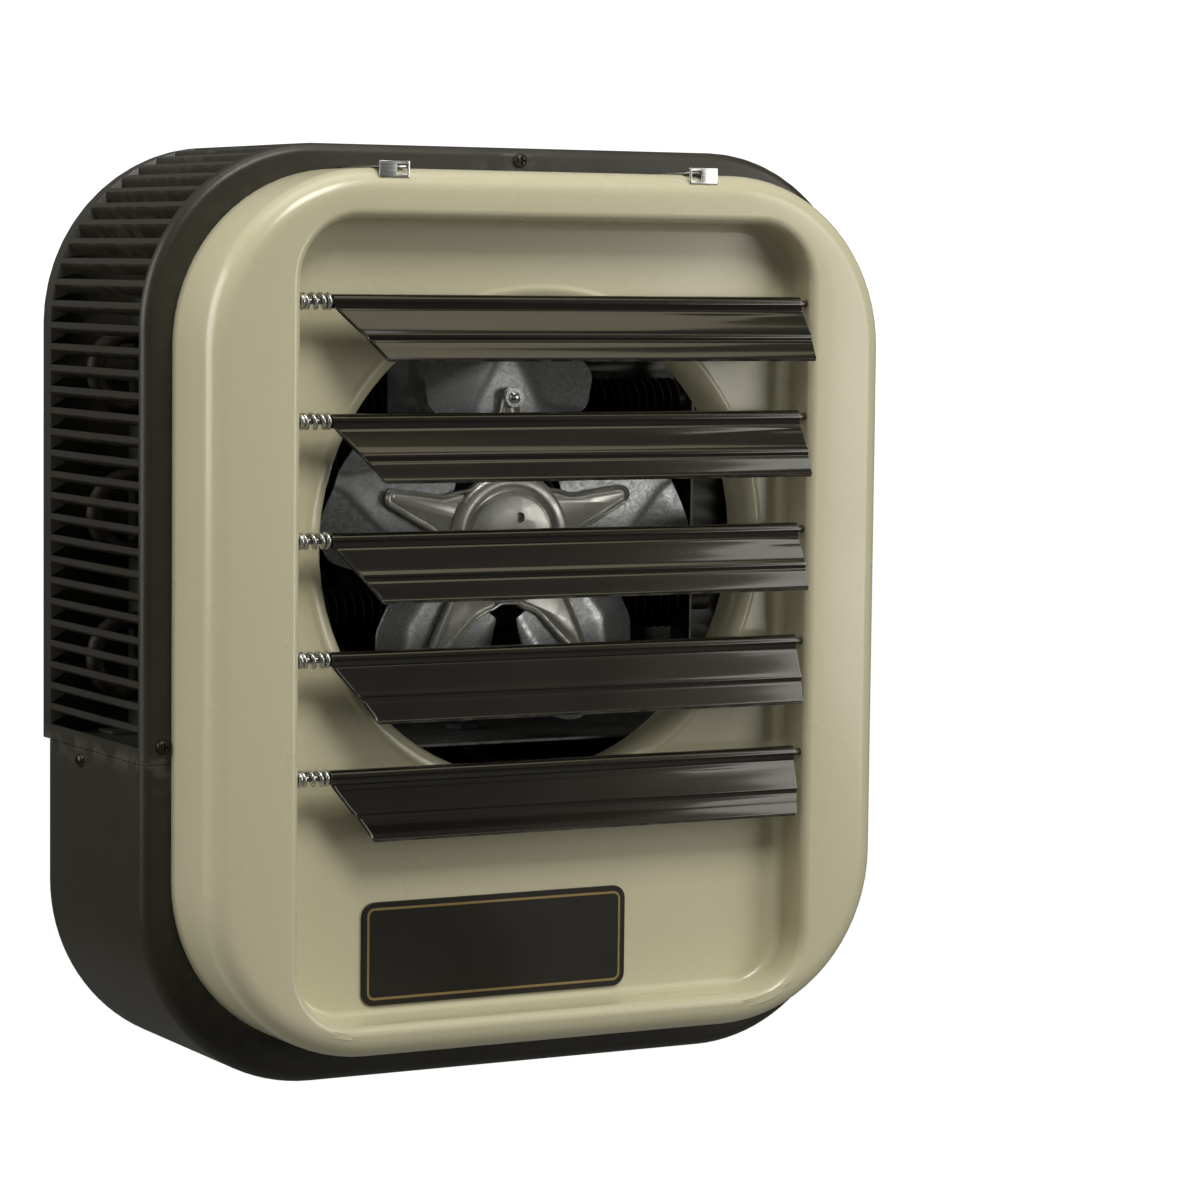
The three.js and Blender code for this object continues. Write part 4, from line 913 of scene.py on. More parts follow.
@dataclass
class FrontPanel:
    """The cream pan: drawn rim, sunken field and the rolled outlet, with its bare plate and clips."""

    outline: Outline = Outline(165.0, -11.0, -391.5, 76.0)
    recess: Outline = Outline(124.9, -32.0, -377.1, 27.0, 1.3)
    back: float = -59.3
    front: float = -101.0
    edge: float = 10.0
    lip: float = 4.0
    depth: float = 20.0
    fillet: float = 4.0
    draft: float = 0.5
    outlet: float = 104.0
    outlet_lip: float = 7.0
    throat_wall: float = 7.0
    sheet: float = 1.2
    rod_hole: float = 1.75

    def round_ring(self, guide: Ring, radius: float, y: float) -> Ring:
        """Args:
            guide: the ring whose directions it takes.
            radius: its radius round the fan's axis.
            y: its depth.

        Returns:
            The ring's points.
        """
        made = []
        for x, _, z in guide:
            turn = math.atan2(z - FAN_HEIGHT, x)
            made.append((radius * math.cos(turn), y, FAN_HEIGHT + radius * math.sin(turn)))
        return made

    def skin(self) -> Skin:
        """Returns: the pan's outer skin, from its back edge to the outlet's throat."""
        quarter = angles(0, 90, 8)
        field_y = self.front + self.depth
        rows = [(self.outline, 0, self.back), (self.outline, 0, self.back - 2)]
        rows += [(self.outline, self.edge * (1 - math.cos(turn)),
                  self.front + self.edge * (1 - math.sin(turn))) for turn in quarter]
        rows += [(self.recess, self.lip * (math.sin(turn) - 1),
                  self.front + self.lip * (1 - math.cos(turn))) for turn in quarter]
        rows += [(self.recess, self.draft + self.fillet * (1 - math.cos(turn)),
                  field_y - self.fillet * (1 - math.sin(turn))) for turn in quarter]
        rings = [outline.ring(inset, y) for outline, inset, y in rows]
        guide = rings[-1]
        start, crest = self.outlet + self.outlet_lip, 0.75
        for out, raised in ((2.6, 0.0), (1.7, 0.1), (0.8, 0.65)):
            rings.append(self.round_ring(guide, start + out, field_y - raised))
        for turn in angles(0, 90, 9):
            drop = (self.outlet_lip + crest) * (1 - math.cos(turn)) - crest
            rings.append(self.round_ring(guide, start - self.outlet_lip * math.sin(turn), field_y + drop))
        rings.append(self.round_ring(guide, self.outlet, field_y + self.outlet_lip + self.throat_wall))
        return Skin.ringed(rings)

    def build(self) -> None:
        """Build the pan with its rod holes, the plate with its gold line, and the clips."""
        holes = [Skin.turned([(self.rod_hole, -5), (self.rod_hole, 5)], 20, "x", (x, PIVOT_DEPTH, z))
                 for z in LOUVRE_PIVOTS for x in ROD_WALLS]
        pan = Make(sheet=self.sheet, cutters=holes, sharp=50)
        pan.piece("front_pan", self.skin(), CREAM_ENAMEL, "front_panel")
        self.plate()
        self.clip("left", -80.7, 1)
        self.clip("right", 70.2, -1)

    def plate(self) -> None:
        """Build the bare black plate and its raised gold border line."""
        middle_x, middle_z, half_width, half_height, face = -20.6, -349.4, 65.0, 22.65, -82.3
        outline = Outline(half_width, middle_z + half_height, middle_z - half_height, 6.0, middle_x)
        spans = (10, 6, 10)
        rings = [outline.ring(inset, y, *spans)
                 for inset, y in ((0, -81.35), (0, -82.0), (0.35, face), (1.4, face))]
        Make(sharp=30).piece("bare_plate", Skin.ringed(rings, caps=True), PLATE_BLACK, "name_plate")
        raised = face - 0.1
        rings = [outline.ring(inset, y, *spans)
                 for inset, y in ((2.5, face), (2.6, raised), (3.5, raised), (3.6, face))]
        line = Skin.ringed(rings, along=True)
        Make(sharp=30).piece("plate_border", line, GOLD_LINE, "name_plate")

    def clip(self, name: str, middle: float, window: int) -> None:
        """Build a plated clip: a strap over the pan's top wall and an ear with a window.

        Args:
            name: which clip it is.
            middle: its middle in X.
            window: the side of the window, 1 for right and -1 for left.
        """
        half, back, sheet, width, edge = 7.1, -99.6, 0.8, 5.0, 1.3
        low, high = -15.0, -8.0
        skin = Skin()
        left = middle + window * 3.5 - width / 2
        xs = sorted({middle - half, middle + half, left, left + width})
        zs = [low, low + edge, high - edge, high]
        hole = xs.index(left)
        skin.rings([[(x, back, z) for x in xs] for z in zs], around=False,
                   keep=lambda row, place: not (row == 1 and place == hole))
        strap = [(-59.6, -9.9), (-96.0, -9.9), (-98.4, -9.95), (back, -10.2)]
        far = (middle - half, left) if window > 0 else (left + width, middle + half)
        across = (middle - half, *far, middle + half)
        skin.rings([[(x, y, z) for x in across] for y, z in strap[:2]], around=False)
        skin.rings([[(x, y, z) for x in far] for y, z in strap[1:]], around=False)
        Make(sheet=sheet, bevel=0.18, sharp=35).piece(
            f"sprung_clip_{name}", skin, BRIGHT_ZINC, f"panel_clip_{name}")


@dataclass
class Louvres:
    """Five bronze louvres on their rods, each pressed to the right by its spring."""

    tilts: tuple[float, ...] = (29.0, 24.0, 21.0, 13.0, 5.0)
    left: float = -108.0
    right: float = 124.2
    chord: float = 29.0
    step_drop: float = 16.6
    step_depth: float = 1.0
    bead: float = 2.2
    sheet: float = 0.9
    slant: float = 19.5
    slant_top: float = 3.4
    slant_start: float = 0.5
    bead_short: float = 1.9
    notch: float = 0.9
    right_taper: float = 1.3
    taper_run: float = 20.0
    corner_cut: float = 1.2
    corner_run: float = 2.0
    hem_lift: float = 0.55
    hem_width: float = 1.6
    crease: float = 0.45
    lower_crease: float = 0.2
    crease_run: float = 78.0
    crease_drop: float = 9.5
    crease_rise: float = 5.0
    crease_half: float = 4.5
    lower_drop: float = 22.5
    lower_half: float = 4.0
    rod: float = 1.4
    rod_past: float = 3.5
    spring_radius: float = 2.8
    spring_wire: float = 1.0
    spring_gap: float = 1.1
    closed_pitch: float = 1.2
    coils: int = 4
    end_turn: float = 0.8

    def profile(self) -> list[tuple[float, float, float]]:
        """Returns: (drop, depth, bead share) down the louvre, depth away from the room."""
        rows = []
        for degrees in range(255, -46, -15):
            turn = math.radians(degrees)
            rows.append((-self.bead * math.sin(turn), -self.bead * math.cos(turn), 1.0))
        d, s = self.step_drop, self.step_depth
        web = [(3.3, 0.35), (4.2, 0.1), (5.6, 0.22), (7.4, 0.24), (9.6, 0.2), (12.0, 0.15), (14.2, 0.08),
               (d - 1.2, -0.1), (d - 0.5, -0.35), (d + 0.1, -0.35), (d + 0.7, 0.15), (d + 1.3, s * 0.85),
               (d + 2.0, s * 1.05), (d + 2.8, s * 0.75), (d + 3.6, s * 0.7), (d + 6.0, s * 0.85),
               (self.chord - 4.0, s), (self.chord - 2.2, s), (self.chord - 1.2, s * 0.85),
               (self.chord - 0.6, s * 0.5), (self.chord - 0.3, s * 0.15)]
        return rows + [(drop, depth, 0.0) for drop, depth in web]

    def edges(self, drop: float, bead: float) -> tuple[float, float]:
        """Args:
            drop: distance below the pivot.
            bead: 1 on the bead and 0 on the web.

        Returns:
            The louvre's left and right ends at that drop.
        """
        if bead:
            return self.left, self.right - self.bead_short
        past = max(0.0, drop - self.slant_top)
        left = self.left + self.slant_start + self.slant * past / (self.chord - self.slant_top)
        notch = self.notch if drop > self.step_drop + 0.5 else 0.0
        corner = max(0.0, drop - (self.chord - self.corner_run)) / self.corner_run
        right = (self.right - self.right_taper + self.right_taper * min(drop / self.taper_run, 1.0)
                 - self.corner_cut * corner ** 2)
        return left + notch, right

    def dressing(self, from_left: float, x: float, drop: float) -> float:
        """The louvre's hem on the slant and the crease towards its right end.

        Args:
            from_left: distance from its left end.
            x: place in X.
            drop: distance below the pivot.

        Returns:
            How far the web is pressed back there.
        """
        hem = max(0.0, 1 - from_left / self.hem_width)
        lift = self.hem_lift if drop < self.chord - 3 else 0.0
        part = max(0.0, (x - (self.right - self.crease_run)) / self.crease_run)
        middle = self.crease_drop - self.crease_rise * part
        upper = max(0.0, 1 - abs(drop - middle) / self.crease_half) if drop < self.step_drop - 1 else 0.0
        lower = max(0.0, 1 - abs(drop - self.lower_drop) / self.lower_half)
        return -lift * hem ** 2 + self.crease * part * upper + self.lower_crease * part * lower

    def web(self, number: int) -> Skin:
        """The louvre's front skin, hung at its own tilt.

        Args:
            number: which louvre it is, from 0.

        Returns:
            The skin.
        """
        tilt = math.radians(self.tilts[number])
        near, spans = [0.0, 0.5, 1.0, 1.6, 2.6], 34
        skin, rings = Skin(), []
        for drop, depth, bead in self.profile():
            left, right = self.edges(drop, bead)
            along = [left + gap for gap in near]
            along += [left + near[-1] + (right - left - near[-1]) * part / spans
                      for part in range(1, spans)]
            along += [right - 0.8, right]
            ring = []
            for x in along:
                away = depth if bead else depth + self.dressing(x - left, x, drop)
                y = -drop * math.sin(tilt) + away * math.cos(tilt)
                z = -drop * math.cos(tilt) - away * math.sin(tilt)
                ring.append((x, PIVOT_DEPTH + y, LOUVRE_PIVOTS[number] + z))
            rings.append(ring)
        skin.rings(rings, around=False)
        return skin

    def rod_skin(self, number: int) -> Skin:
        """Args:
            number: which rod it is, from 0.

        Returns:
            The rod, with rounded ends.
        """
        radius, low, high = self.rod, ROD_WALLS[0] - self.rod_past, ROD_WALLS[1] + self.rod_past
        return Skin.turned([(radius * 0.5, low), (radius * 0.85, low + 0.25), (radius, low + 0.7),
                            (radius, high - 0.7), (radius * 0.85, high - 0.25), (radius * 0.5, high)],
                           24, "x", (0, PIVOT_DEPTH, LOUVRE_PIVOTS[number]))

    def spring_skin(self, number: int) -> Skin:
        """Args:
            number: which spring it is, from 0.

        Returns:
            The wire, with a closed coil at each end.
        """
        low, high = ROD_WALLS[0] + self.spring_gap, self.left - self.spring_gap
        dead, steps, pitch = 1.0, 22, self.spring_wire * self.closed_pitch
        turns = self.coils + self.end_turn
        path = []
        for step in range(int(turns * steps) + 1):
            turn = step / steps
            if turn < dead:
                x = low + turn * pitch
            elif turn > turns - dead:
                x = high - (turns - turn) * pitch
            else:
                share = (turn - dead) / (turns - 2 * dead)
                inner = pitch * dead
                x = low + inner + (high - low - 2 * inner) * share
            angle = 2 * math.pi * turn
            path.append((x, PIVOT_DEPTH - self.spring_radius * math.sin(angle),
                         LOUVRE_PIVOTS[number] + self.spring_radius * math.cos(angle)))
        return Skin.swept(path, self.spring_wire, 10)

    def build(self) -> None:
        """Build the louvres, their rods and their springs."""
        for number in range(len(LOUVRE_PIVOTS)):
            name = number + 1
            louvre = Make(body=f"louvre_{name}_blade", sheet=self.sheet, sharp=60)
            louvre.piece(f"louvre_sheet_{name}", self.web(number), LOUVRE_BRONZE, f"louvre_{name}")
            # The rods take the darker zinc as painted shade.
            Make().piece(f"rod_{name}", self.rod_skin(number), SHADED_ROD_ZINC, f"louvre_rod_{name}")
            Make().piece(f"spring_{name}", self.spring_skin(number), BRIGHT_ZINC, f"louvre_spring_{name}")


@dataclass
class Fan:
    """The fan: five blades on a pressed spider with a domed boss."""

    radius: float = 87.5
    front: float = -52.0
    blades: int = 5
    arm_reach: float = 64.0
    arm_half: float = 8.6
    waist: float = 30.0
    half_chord: float = 34.5
    root: float = 32.0
    root_share: float = 0.5
    flare: float = 0.9
    camber: float = 0.9
    blade_back: float = 2.1
    rise: float = -0.54
    pad_half: float = 15.75
    fold: float = 1.6
    tip_from: float = 0.78
    tip_run: float = 0.225
    tip_fall: float = 0.62

    def spider_outline(self) -> list[Vector]:
        """Returns: the spider's outline in X and Z about the axis, rounded at tips and arches."""
        corners = []
        for blade in range(self.blades):
            middle = math.pi / 2 + blade * 2 * math.pi / self.blades
            end = self.arm_half * 0.52
            tip = self.arm_reach - end
            local = [(self.arm_half * 1.5, self.waist + 0.5), (self.arm_half, self.waist + 6)]
            local += [(self.arm_half * 0.8, (self.waist + tip) / 2 + 3)]
            local += arc((0.0, tip), end, 0, 180, 8)
            local += [(-aside, out) for aside, out in reversed(local[:3])]
            for aside, out in local:
                turn = middle - math.atan2(aside, out)
                corners.append(Vector((math.cos(turn), math.sin(turn))) * math.hypot(aside, out))
            for share in (0.8, 1.0, 1.2):
                arch = middle + share * math.pi / self.blades
                corners.append(Vector((math.cos(arch), math.sin(arch))) * self.waist)
        for _ in range(2):
            corners = [point for first, second in zip(corners, corners[1:] + corners[:1])
                       for point in (first * 0.75 + second * 0.25, first * 0.25 + second * 0.75)]
        return corners

    def spider(self) -> Skin:
        """Returns: the pressed spider, its rim rolled forwards round a sunken channel."""
        outline = self.spider_outline()
        count = len(outline)
        normals = []
        for place in range(count):
            along = (outline[(place + 1) % count] - outline[place - 1]).normalized()
            normals.append(Vector((-along.y, along.x)))
        if sum((outline[place].cross(outline[(place + 1) % count])) for place in range(count)) < 0:
            normals = [-normal for normal in normals]
        rings = []
        rolled_rim = ((0.0, 1.4), (0.0, -0.4), (0.25, -1.0), (0.7, -1.3), (1.15, -1.1), (1.55, -0.3),
                      (1.95, 0.3), (2.4, 0.5), (2.8, 0.4), (3.2, 0.1))
        for inset, depth in rolled_rim:
            rings.append([(p.x + n.x * inset, self.front + depth, FAN_HEIGHT + p.y + n.y * inset)
                          for p, n in zip(outline, normals)])
        return Skin.ringed(rings, caps=True)

    def boss(self) -> Skin:
        """Returns: the bright domed disc with its groove, over the spider's middle."""
        face = self.front
        return Skin.turned([(29.4, face - 0.2), (28.8, face - 1.2), (27.4, face - 1.9), (25.2, face - 2.2),
                            (23.2, face - 2.1), (22.2, face - 1.2), (21.4, face - 0.9), (20.6, face - 1.3),
                            (20.0, face - 2.6), (18.6, face - 3.1), (10.0, face - 3.3), (6.0, face - 3.3)],
                           72, centre=(0, 0, FAN_HEIGHT))

    def blade(self, number: int) -> Skin:
        """Args:
            number: which blade it is, from 0.

        Returns:
            The blade's front skin: flat under its arm, then swept to both edges.
        """
        turn = number * 2 * math.pi / self.blades
        rings, rows, columns = [], 22, 14
        for row in range(rows + 1):
            part = row / rows
            radius = self.root + (self.radius - self.root) * part
            spread = min(self.root_share + self.flare * part, 1) * self.half_chord
            past = max(0.0, (part - self.tip_from) / self.tip_run)
            half = spread * math.sqrt(max(0.0, 1 - self.tip_fall * past ** 2.2))
            pad = self.pad_half * min(1, max(0.15, (1 - part) / 0.5))
            ring = []
            for column in range(-columns, columns + 1):
                share = column / columns
                aside = share * half
                beyond = max(0.0, abs(aside) - pad)
                beyond -= self.fold * (1 - math.exp(-beyond / self.fold))
                depth = math.copysign(beyond, aside) * self.rise + self.camber * (1 - share ** 2) * part
                sag = (self.radius - math.sqrt(self.radius ** 2 - aside ** 2)) * part
                out = radius - sag
                x = aside * math.cos(turn) + out * math.sin(turn)
                z = out * math.cos(turn) - aside * math.sin(turn)
                ring.append((x, self.front + self.blade_back + depth, FAN_HEIGHT + z))
            rings.append(ring)
        return Skin.ringed(rings, around=False)

    def build(self) -> None:
        """Build the spider, boss, blades, hub, shaft and the balance clip."""
        maker = Make(body="fan", sharp=50)
        maker.piece("spider_plate", self.spider(), GALVANISED, "fan_spider")
        holes = []
        for angle, out in ((68.0, 10.0), (188.0, 11.5), (308.0, 10.5)):
            (x, z), = arc((0, FAN_HEIGHT), out, angle, angle, 1)[:1]
            holes.append(Skin.turned([(2.4, -3), (2.4, 2.2)], 20, centre=(x, self.front - 3, z)))
        boss = Make(body="fan", sharp=40, cutters=holes)
        boss.piece("spider_boss", self.boss(), GALVANISED, "fan_spider")
        blade = Make(body="fan", sheet=1.0, sharp=50)
        for number in range(self.blades):
            name = f"blade_{number + 1}"
            blade.piece(name, self.blade(number), BLADE_ZINC, f"fan_{name}")
        axis = (0, 0, FAN_HEIGHT)
        hub = Skin.turned([(4.4, -50.1), (11.2, -50.1), (12.0, -49.5), (12.0, -33.0), (11.2, -32.3),
                           (4.4, -32.3)], 48, centre=axis, closed=True)
        maker.piece("hub_collar", hub, BRIGHT_ZINC, "fan_hub")
        shaft = Skin.turned([(2.6, -55.4), (3.4, -55.2), (4.0, -54.4), (4.0, -9.8), (3.2, -9.2)], 32,
                            centre=axis)
        maker.piece("shaft_bar", shaft, BRIGHT_ZINC, "motor_shaft")
        place = (1.0, 0, FAN_HEIGHT + self.arm_reach - 1.5)
        clip = Skin.turned([(4.4, -54.4), (4.6, -53.6), (4.6, -51.6)], 24, centre=place)
        clip.lathe([(2.0, -55.6), (2.6, -55.0), (2.6, -54.2)], 20, centre=place)
        maker.piece("balance_clip", clip, BRIGHT_ZINC, "fan_spider")


@dataclass
class Motor:
    """The black motor: a ribbed can with rolled rims."""

    front: float = -29.7
    length: float = 50.0
    radius: float = 44.0
    rim: float = 5.0
    ribs: int = 7
    rib_pitch: float = 4.6
    rib_depth: float = 1.2

    def can(self) -> Skin:
        """Returns: the can's skin."""
        face, back = self.front + 4, self.front + self.length
        profile = [(4.3, self.front), (12.4, self.front), (13.0, self.front + 0.6), (15.0, face),
                   (34.0, face)]
        profile += arc((self.radius - self.rim, face + self.rim), self.rim, -90, 0, 6)
        for rib in range(self.ribs):
            middle, low = face + 9 + rib * self.rib_pitch, self.radius - self.rib_depth
            profile += [(self.radius, middle - 0.8), (low, middle - 0.4), (low, middle + 1.6),
                        (self.radius, middle + 2.0)]
        profile += arc((self.radius - self.rim, back - self.rim), self.rim, 0, 90, 6)
        profile += [(20.0, back), (18.0, back - 0.6), (4.0, back - 0.6)]
        return Skin.turned(profile, 64, centre=(0, 0, FAN_HEIGHT))

    def build(self) -> None:
        """Build the motor."""
        Make(sharp=35).piece("motor_can", self.can(), MOTOR_ENAMEL, "motor_body")


@dataclass
class Elements:
    """Three finned hairpin elements across the intake."""

    count: int = 3
    middle_y: float = 38.0
    half_span: float = 140.0
    first_drop: float = 84.0
    run_pitch: float = 32.0
    tube: float = 4.0
    fin: float = 12.0
    fin_pitch: float = 4.4
    bracket_room: float = 8.0

    def middle(self, number: int) -> float:
        """Returns: the height of an element's middle, counted from 0."""
        return -(self.first_drop + (2 * number + 0.5) * self.run_pitch)

    def hairpin(self, number: int) -> Skin:
        """Args:
            number: which element it is, from 0.

        Returns:
            Its bent tube.
        """
        middle = self.middle(number)
        bend, left, right = self.run_pitch / 2, -self.half_span - 5, self.half_span + 14
        path = [(x, self.middle_y, middle + bend) for x in (right, 70, 0, -70)]
        path += [(x, self.middle_y, z) for x, z in arc((left, middle), bend, 90, 270, 16)]
        path += [(x, self.middle_y, middle - bend) for x in (-70, 0, 70, right)]
        return Skin.swept(path, self.tube, 18)

    def fins(self, number: int) -> Skin:
        """Args:
            number: which element it is, from 0.

        Returns:
            The wound fins on both of its runs.
        """
        middle, skin = self.middle(number), Skin()
        reach = self.half_span - self.bracket_room
        for run in (-1, 1):
            z = middle + run * self.run_pitch / 2
            count = int(2 * reach / self.fin_pitch)
            for fin in range(count + 1):
                x = -reach + 2 * reach * fin / count
                skin.lathe([(self.tube - 0.2, x - 0.3), (self.fin - 0.2, x - 0.25), (self.fin, x),
                            (self.fin - 0.2, x + 0.25), (self.tube - 0.2, x + 0.3)],
                           18, "x", (0, self.middle_y, z), closed=True)
        return skin

    def build(self) -> None:
        """Build the tubes and their fins."""
        for number in range(self.count):
            node = f"heating_element_{number + 1}"
            Make(sharp=50).piece(f"element_tube_{number + 1}", self.hairpin(number), HEATED_STEEL, node)
            Make(sharp=35).piece(f"element_fins_{number + 1}", self.fins(number), HEATED_STEEL, node)


class Facing(Enum):
    """The way a screw's head looks."""

    FRONT = (0, -1, 0)
    REAR = (0, 1, 0)
    LEFT = (-1, 0, 0)
    RIGHT = (1, 0, 0)
    DOWN = (0, 0, -1)


@dataclass
class PanScrew:
    """A blackened pan head screw with a cross recess.

    Attributes:
        node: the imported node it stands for.
        seat: where its head seats.
        facing: the way its head looks.
        radius: the head's radius.
        height: the head's height.
        slot: half the width of the recess's arms.
        arm: their length, as a share of the head's radius.
        sinking: the recess's depth in the middle.
        roundness: how square the dome's profile is; 2 is a ball's.
        shank: the shank's radius.
        brim: height of the head's upright edge.
        sides: how many sides it has round.
    """

    node: str
    seat: Point
    facing: Facing
    radius: float = 3.2
    height: float = 2.0
    slot: float = 0.42
    arm: float = 0.55
    sinking: float = 1.1
    roundness: float = 2.6
    shank: float = 1.6
    brim: float = 0.3
    sides: int = 48

    def crown(self, out: float, angle: float) -> float:
        """Args:
            out: distance from the axis.
            angle: direction round it.

        Returns:
            The head's height there, sunk in the recess.
        """
        part = out / self.radius
        dome = self.brim + self.height * math.sqrt(max(0.0, 1 - part ** self.roundness)) * 0.97
        a, b = abs(out * math.cos(angle)), abs(out * math.sin(angle))
        sunk = min(a, b) < self.slot and max(a, b) < self.radius * self.arm
        return dome - (self.sinking - 0.5 * part if sunk else 0.0)

    def skin(self) -> Skin:
        """Returns: the screw's head and shank."""
        axis = Vector(self.facing.value)
        turn = axis.to_track_quat("Z", "Y").to_matrix()
        origin = Vector(self.seat)
        around = angles(0, 360, self.sides)[:-1]
        levels = [(self.shank, -5.4), (self.shank, self.brim), (self.radius, self.brim)]
        levels += [(out, None) for out in
                   (3.1, 2.9, 2.6, 2.3, 2.0, 1.8, 1.7, 1.4, 1.1, 0.8, 0.6, 0.5, 0.35, 0.1)]
        rings = []
        for out, level in levels:
            rings.append([])
            for angle in around:
                high = self.crown(out, angle) if level is None else level
                point = origin + turn @ Vector((out * math.cos(angle), out * math.sin(angle), high))
                rings[-1].append(tuple(point))
        return Skin.ringed(rings, caps=True)

    def build(self) -> None:
        """Build the screw."""
        Make(sharp=48).piece(f"{self.node}_pan_head", self.skin(), BLACK_SCREW, self.node)


class Screws:
    """All the casing's screws."""

    def build(self) -> None:
        """Build each screw at its seat."""
        screws = [("casing_screw_top", (0, CASING_FRONT, TOP_SCREW), Facing.FRONT)]
        pairs = (("casing", (LOWER_SCREWS[0], CASING_FRONT, LOWER_SCREWS[1]), (Facing.FRONT,) * 2),
                 ("side", (178.0, SIDE_SCREW_DEPTH, -270.4), (Facing.LEFT, Facing.RIGHT)),
                 ("panel", (60.0, -72.0, -391.5), (Facing.DOWN,) * 2))
        for kind, (x, y, z), ways in pairs:
            for side, sign, facing in zip(("left", "right"), (-1, 1), ways):
                screws.append((f"{kind}_screw_{side}", (sign * x, y, z), facing))
        seats = [(x, z) for x in (-173, 173) for z in REAR_SCREWS]
        for number, (x, z) in enumerate(seats):
            screws.append((f"rear_screw_{number + 1}", (x, CASING_REAR, z), Facing.REAR))
        for number, x in enumerate((-173, 173)):
            screws.append((f"cover_screw_{number + 1}", (x, COVER_REAR, COVER_SCREWS), Facing.REAR))
        for node, seat, facing in screws:
            PanScrew(node, seat, facing).build()


@dataclass
class KeptNodes:
    """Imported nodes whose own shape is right, given their finishes."""

    finishes: tuple[tuple[Finish, tuple[str, ...]], ...] = (
        (SHELF_ZINC, ("partition_plate", "motor_strap", "element_bracket_left",
                      "element_bracket_right")),
        (BRIGHT_ZINC, ("hanger_nut_left", "hanger_nut_right")),
        (MOULDED_BLACK, ("contactor", "terminal_block", "limit_switch", "lead_grommet", "motor_lead")),
    )

    def build(self) -> None:
        """Put each finish on its nodes' material slots."""
        for finish, names in self.finishes:
            for node in map(bpy.data.objects.get, names):
                for slot in node.material_slots:
                    slot.material = finish.material()
                if not node.material_slots:
                    node.data.materials.append(finish.material())


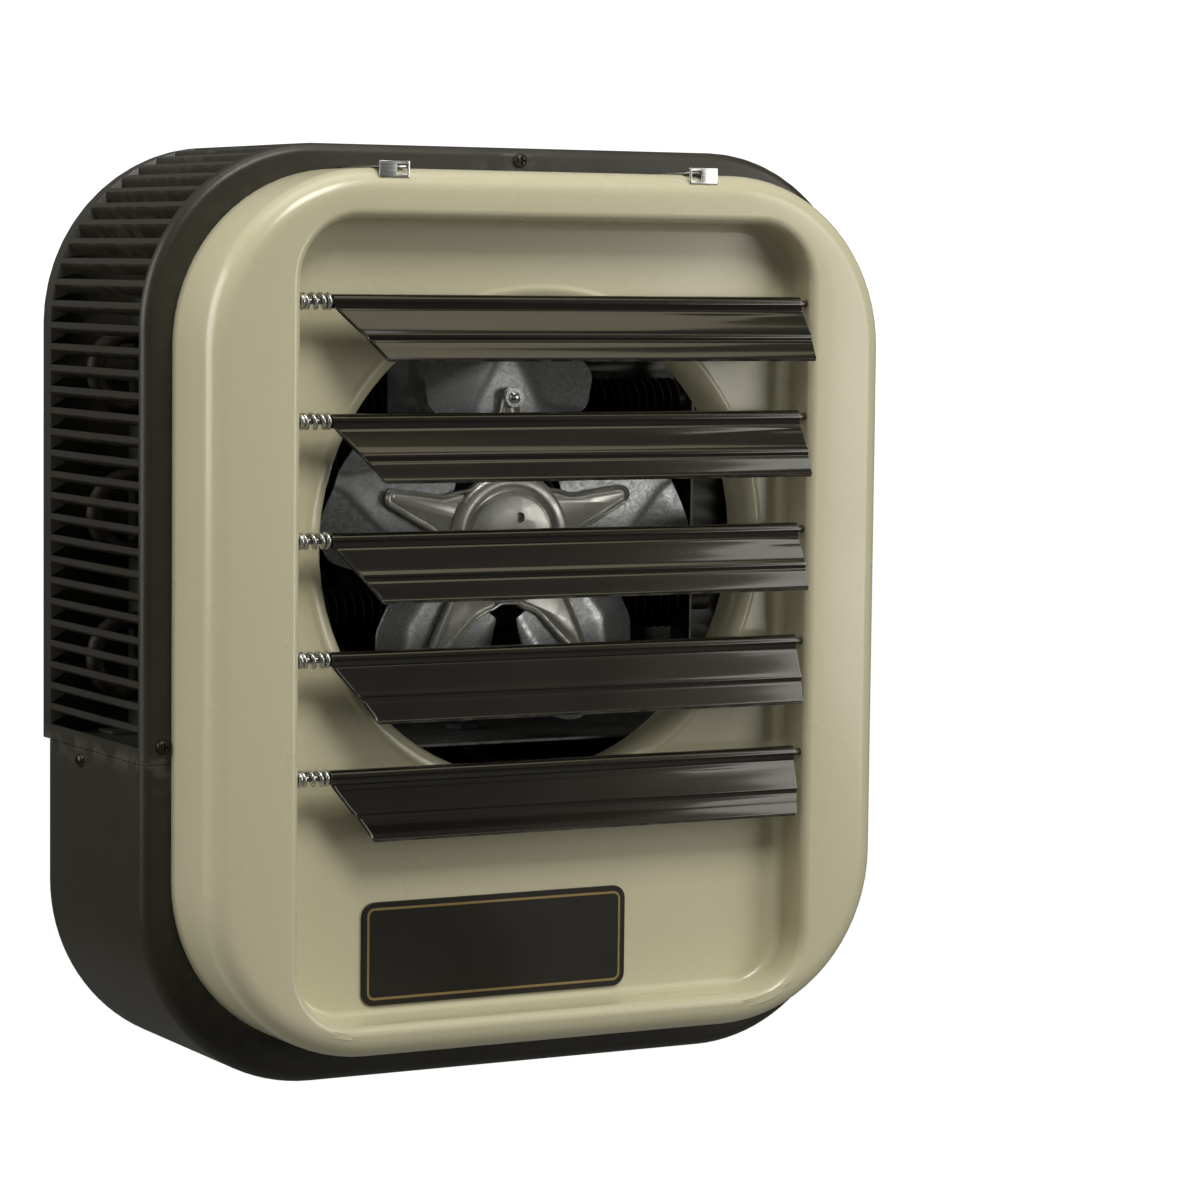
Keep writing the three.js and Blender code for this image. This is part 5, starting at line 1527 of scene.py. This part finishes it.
@dataclass
class Studio:
    """The pale floor, the soft lights and the camera at the photograph's angle."""

    camera_place: Point = (-0.8415, -1.6659, -0.0511)
    right: Point = (0.87650139, -0.48127223, 0.0110614)
    up: Point = (0.02951679, 0.07666247, 0.9966201)
    forward: Point = (0.48049357, 0.87321241, -0.08140038)
    focal_pixels: float = 4098.0
    frame_pixels: float = 1200.0
    floor_height: float = -1.3
    floor_reach: float = 30.0
    floor_glow: float = 0.95
    sky_as_light: float = 0.16
    sky_as_seen: float = 1.15

    def camera(self) -> None:
        """Place the camera."""
        lens = bpy.data.cameras.new("camera")
        lens.sensor_width = SENSOR_WIDTH
        lens.lens = self.focal_pixels / self.frame_pixels * SENSOR_WIDTH
        camera = bpy.data.objects.new("camera", lens)
        turn = Matrix((self.right, self.up, tuple(-v for v in self.forward))).transposed()
        camera.matrix_world = Matrix.Translation(self.camera_place) @ turn.to_4x4()
        bpy.context.scene.collection.objects.link(camera)
        bpy.context.scene.camera = camera

    def lamp(self, name: str, place: Point, aim: Point, size: tuple[float, float], power: float,
             colour: Point = (1.0, 1.0, 1.0), lean: float = 0.0) -> None:
        """Add a soft rectangular light.

        Args:
            name: its name.
            place: where it stands.
            aim: what it looks at.
            size: its width and height.
            power: its power in watts.
            colour: its colour.
            lean: how far it is turned to the left round its own axis, in degrees.
        """
        light = bpy.data.lights.new(name, "AREA")
        light.shape, light.size, light.size_y = "RECTANGLE", size[0], size[1]
        light.energy, light.color = power, colour
        lamp = bpy.data.objects.new(name, light)
        lamp.location = place
        aimed = (Vector(aim) - Vector(place)).to_track_quat("-Z", "Y").to_matrix()
        lamp.rotation_euler = (aimed @ Matrix.Rotation(math.radians(lean), 3, "Z")).to_euler()
        bpy.context.scene.collection.objects.link(lamp)

    def floor(self) -> None:
        """Lay the pale floor far below the hanging heater."""
        mesh = bpy.data.meshes.new("floor")
        reach, low = self.floor_reach, self.floor_height
        corners = [(x * reach, y * reach, low) for x, y in ((-1, -1), (1, -1), (1, 1), (-1, 1))]
        mesh.from_pydata(corners, [], [(0, 1, 2, 3)])
        material = bpy.data.materials.new("pale floor")
        material.use_nodes = True
        tree = Tree(material.node_tree)
        shader = material.node_tree.nodes["Principled BSDF"]
        colour = tree.mix(tree.noise(1.5, 2.0), (0.25, 0.25, 0.24), (0.27, 0.27, 0.26))
        glow = tree.math("MULTIPLY", tree.add("LightPath").outputs["Is Camera Ray"], self.floor_glow)
        tree.fill(shader, {"Base Color": colour, "Emission Strength": glow,
                           "Emission Color": WHITE, "Roughness": 0.9})
        mesh.materials.append(material)
        floor = bpy.data.objects.new("floor", mesh)
        bpy.context.scene.collection.objects.link(floor)

    def sky(self) -> None:
        """Surround the heater with plain white, dimmer as light than as seen."""
        world = bpy.data.worlds.new("studio")
        world.use_nodes = True
        tree = Tree(world.node_tree)
        background = world.node_tree.nodes["Background"]
        seen = tree.add("LightPath").outputs["Is Camera Ray"]
        limits = {"Value": seen, "To Min": self.sky_as_light, "To Max": self.sky_as_seen}
        strength = tree.add("MapRange", limits).outputs[0]
        tree.fill(background, {0: WHITE, 1: strength})
        bpy.context.scene.world = world

    def build(self) -> None:
        """Set up the whole studio."""
        self.camera()
        self.floor()
        self.sky()
        middle = (0.0, -0.05, -0.2)
        warm = (1.0, 0.985, 0.94)
        self.lamp("key", (0.05, -1.75, 1.8), middle, (1.0, 0.9), 36.0, warm)
        self.lamp("window", (1.57, -1.5, 0.345), (1.57, 0.0, 0.345), (1.05, 1.75), 20.0, warm, -12.0)
        self.lamp("left", (-1.9, 0.3, 0.4), middle, (1.2, 1.4), 23.0, warm)
        self.lamp("ceiling", (0.95, -1.3, 1.75), (0.1, -0.1, -0.1), (0.9, 0.6), 2.4, (1.0, 0.92, 0.66))
        self.lamp("overhead", (-0.1, -0.2, 1.9), (-0.1, -0.2, 0.0), (2.0, 1.2), 12.0)
        scene = bpy.context.scene
        scene.view_settings.view_transform = "Standard"
        scene.view_settings.look = "None"


def main() -> None:
    """Build the studio, then the heater piece by piece, and log each new piece with its face count."""
    logging.basicConfig(level=logging.INFO, format="%(name)s: %(message)s")
    Studio().build()
    assemblies = (Casing(), RearPlates(), FrontPanel(), Louvres(), Fan(), Motor(), Elements(), Screws(),
                  KeptNodes())
    for assembly in assemblies:
        before = set(bpy.data.objects)
        assembly.build()
        for piece in sorted(set(bpy.data.objects) - before, key=lambda made: made.name):
            LOG.info("%s: %s, %d faces", type(assembly).__name__, piece.name, len(piece.data.polygons))


if __name__ == "__main__":
    main()
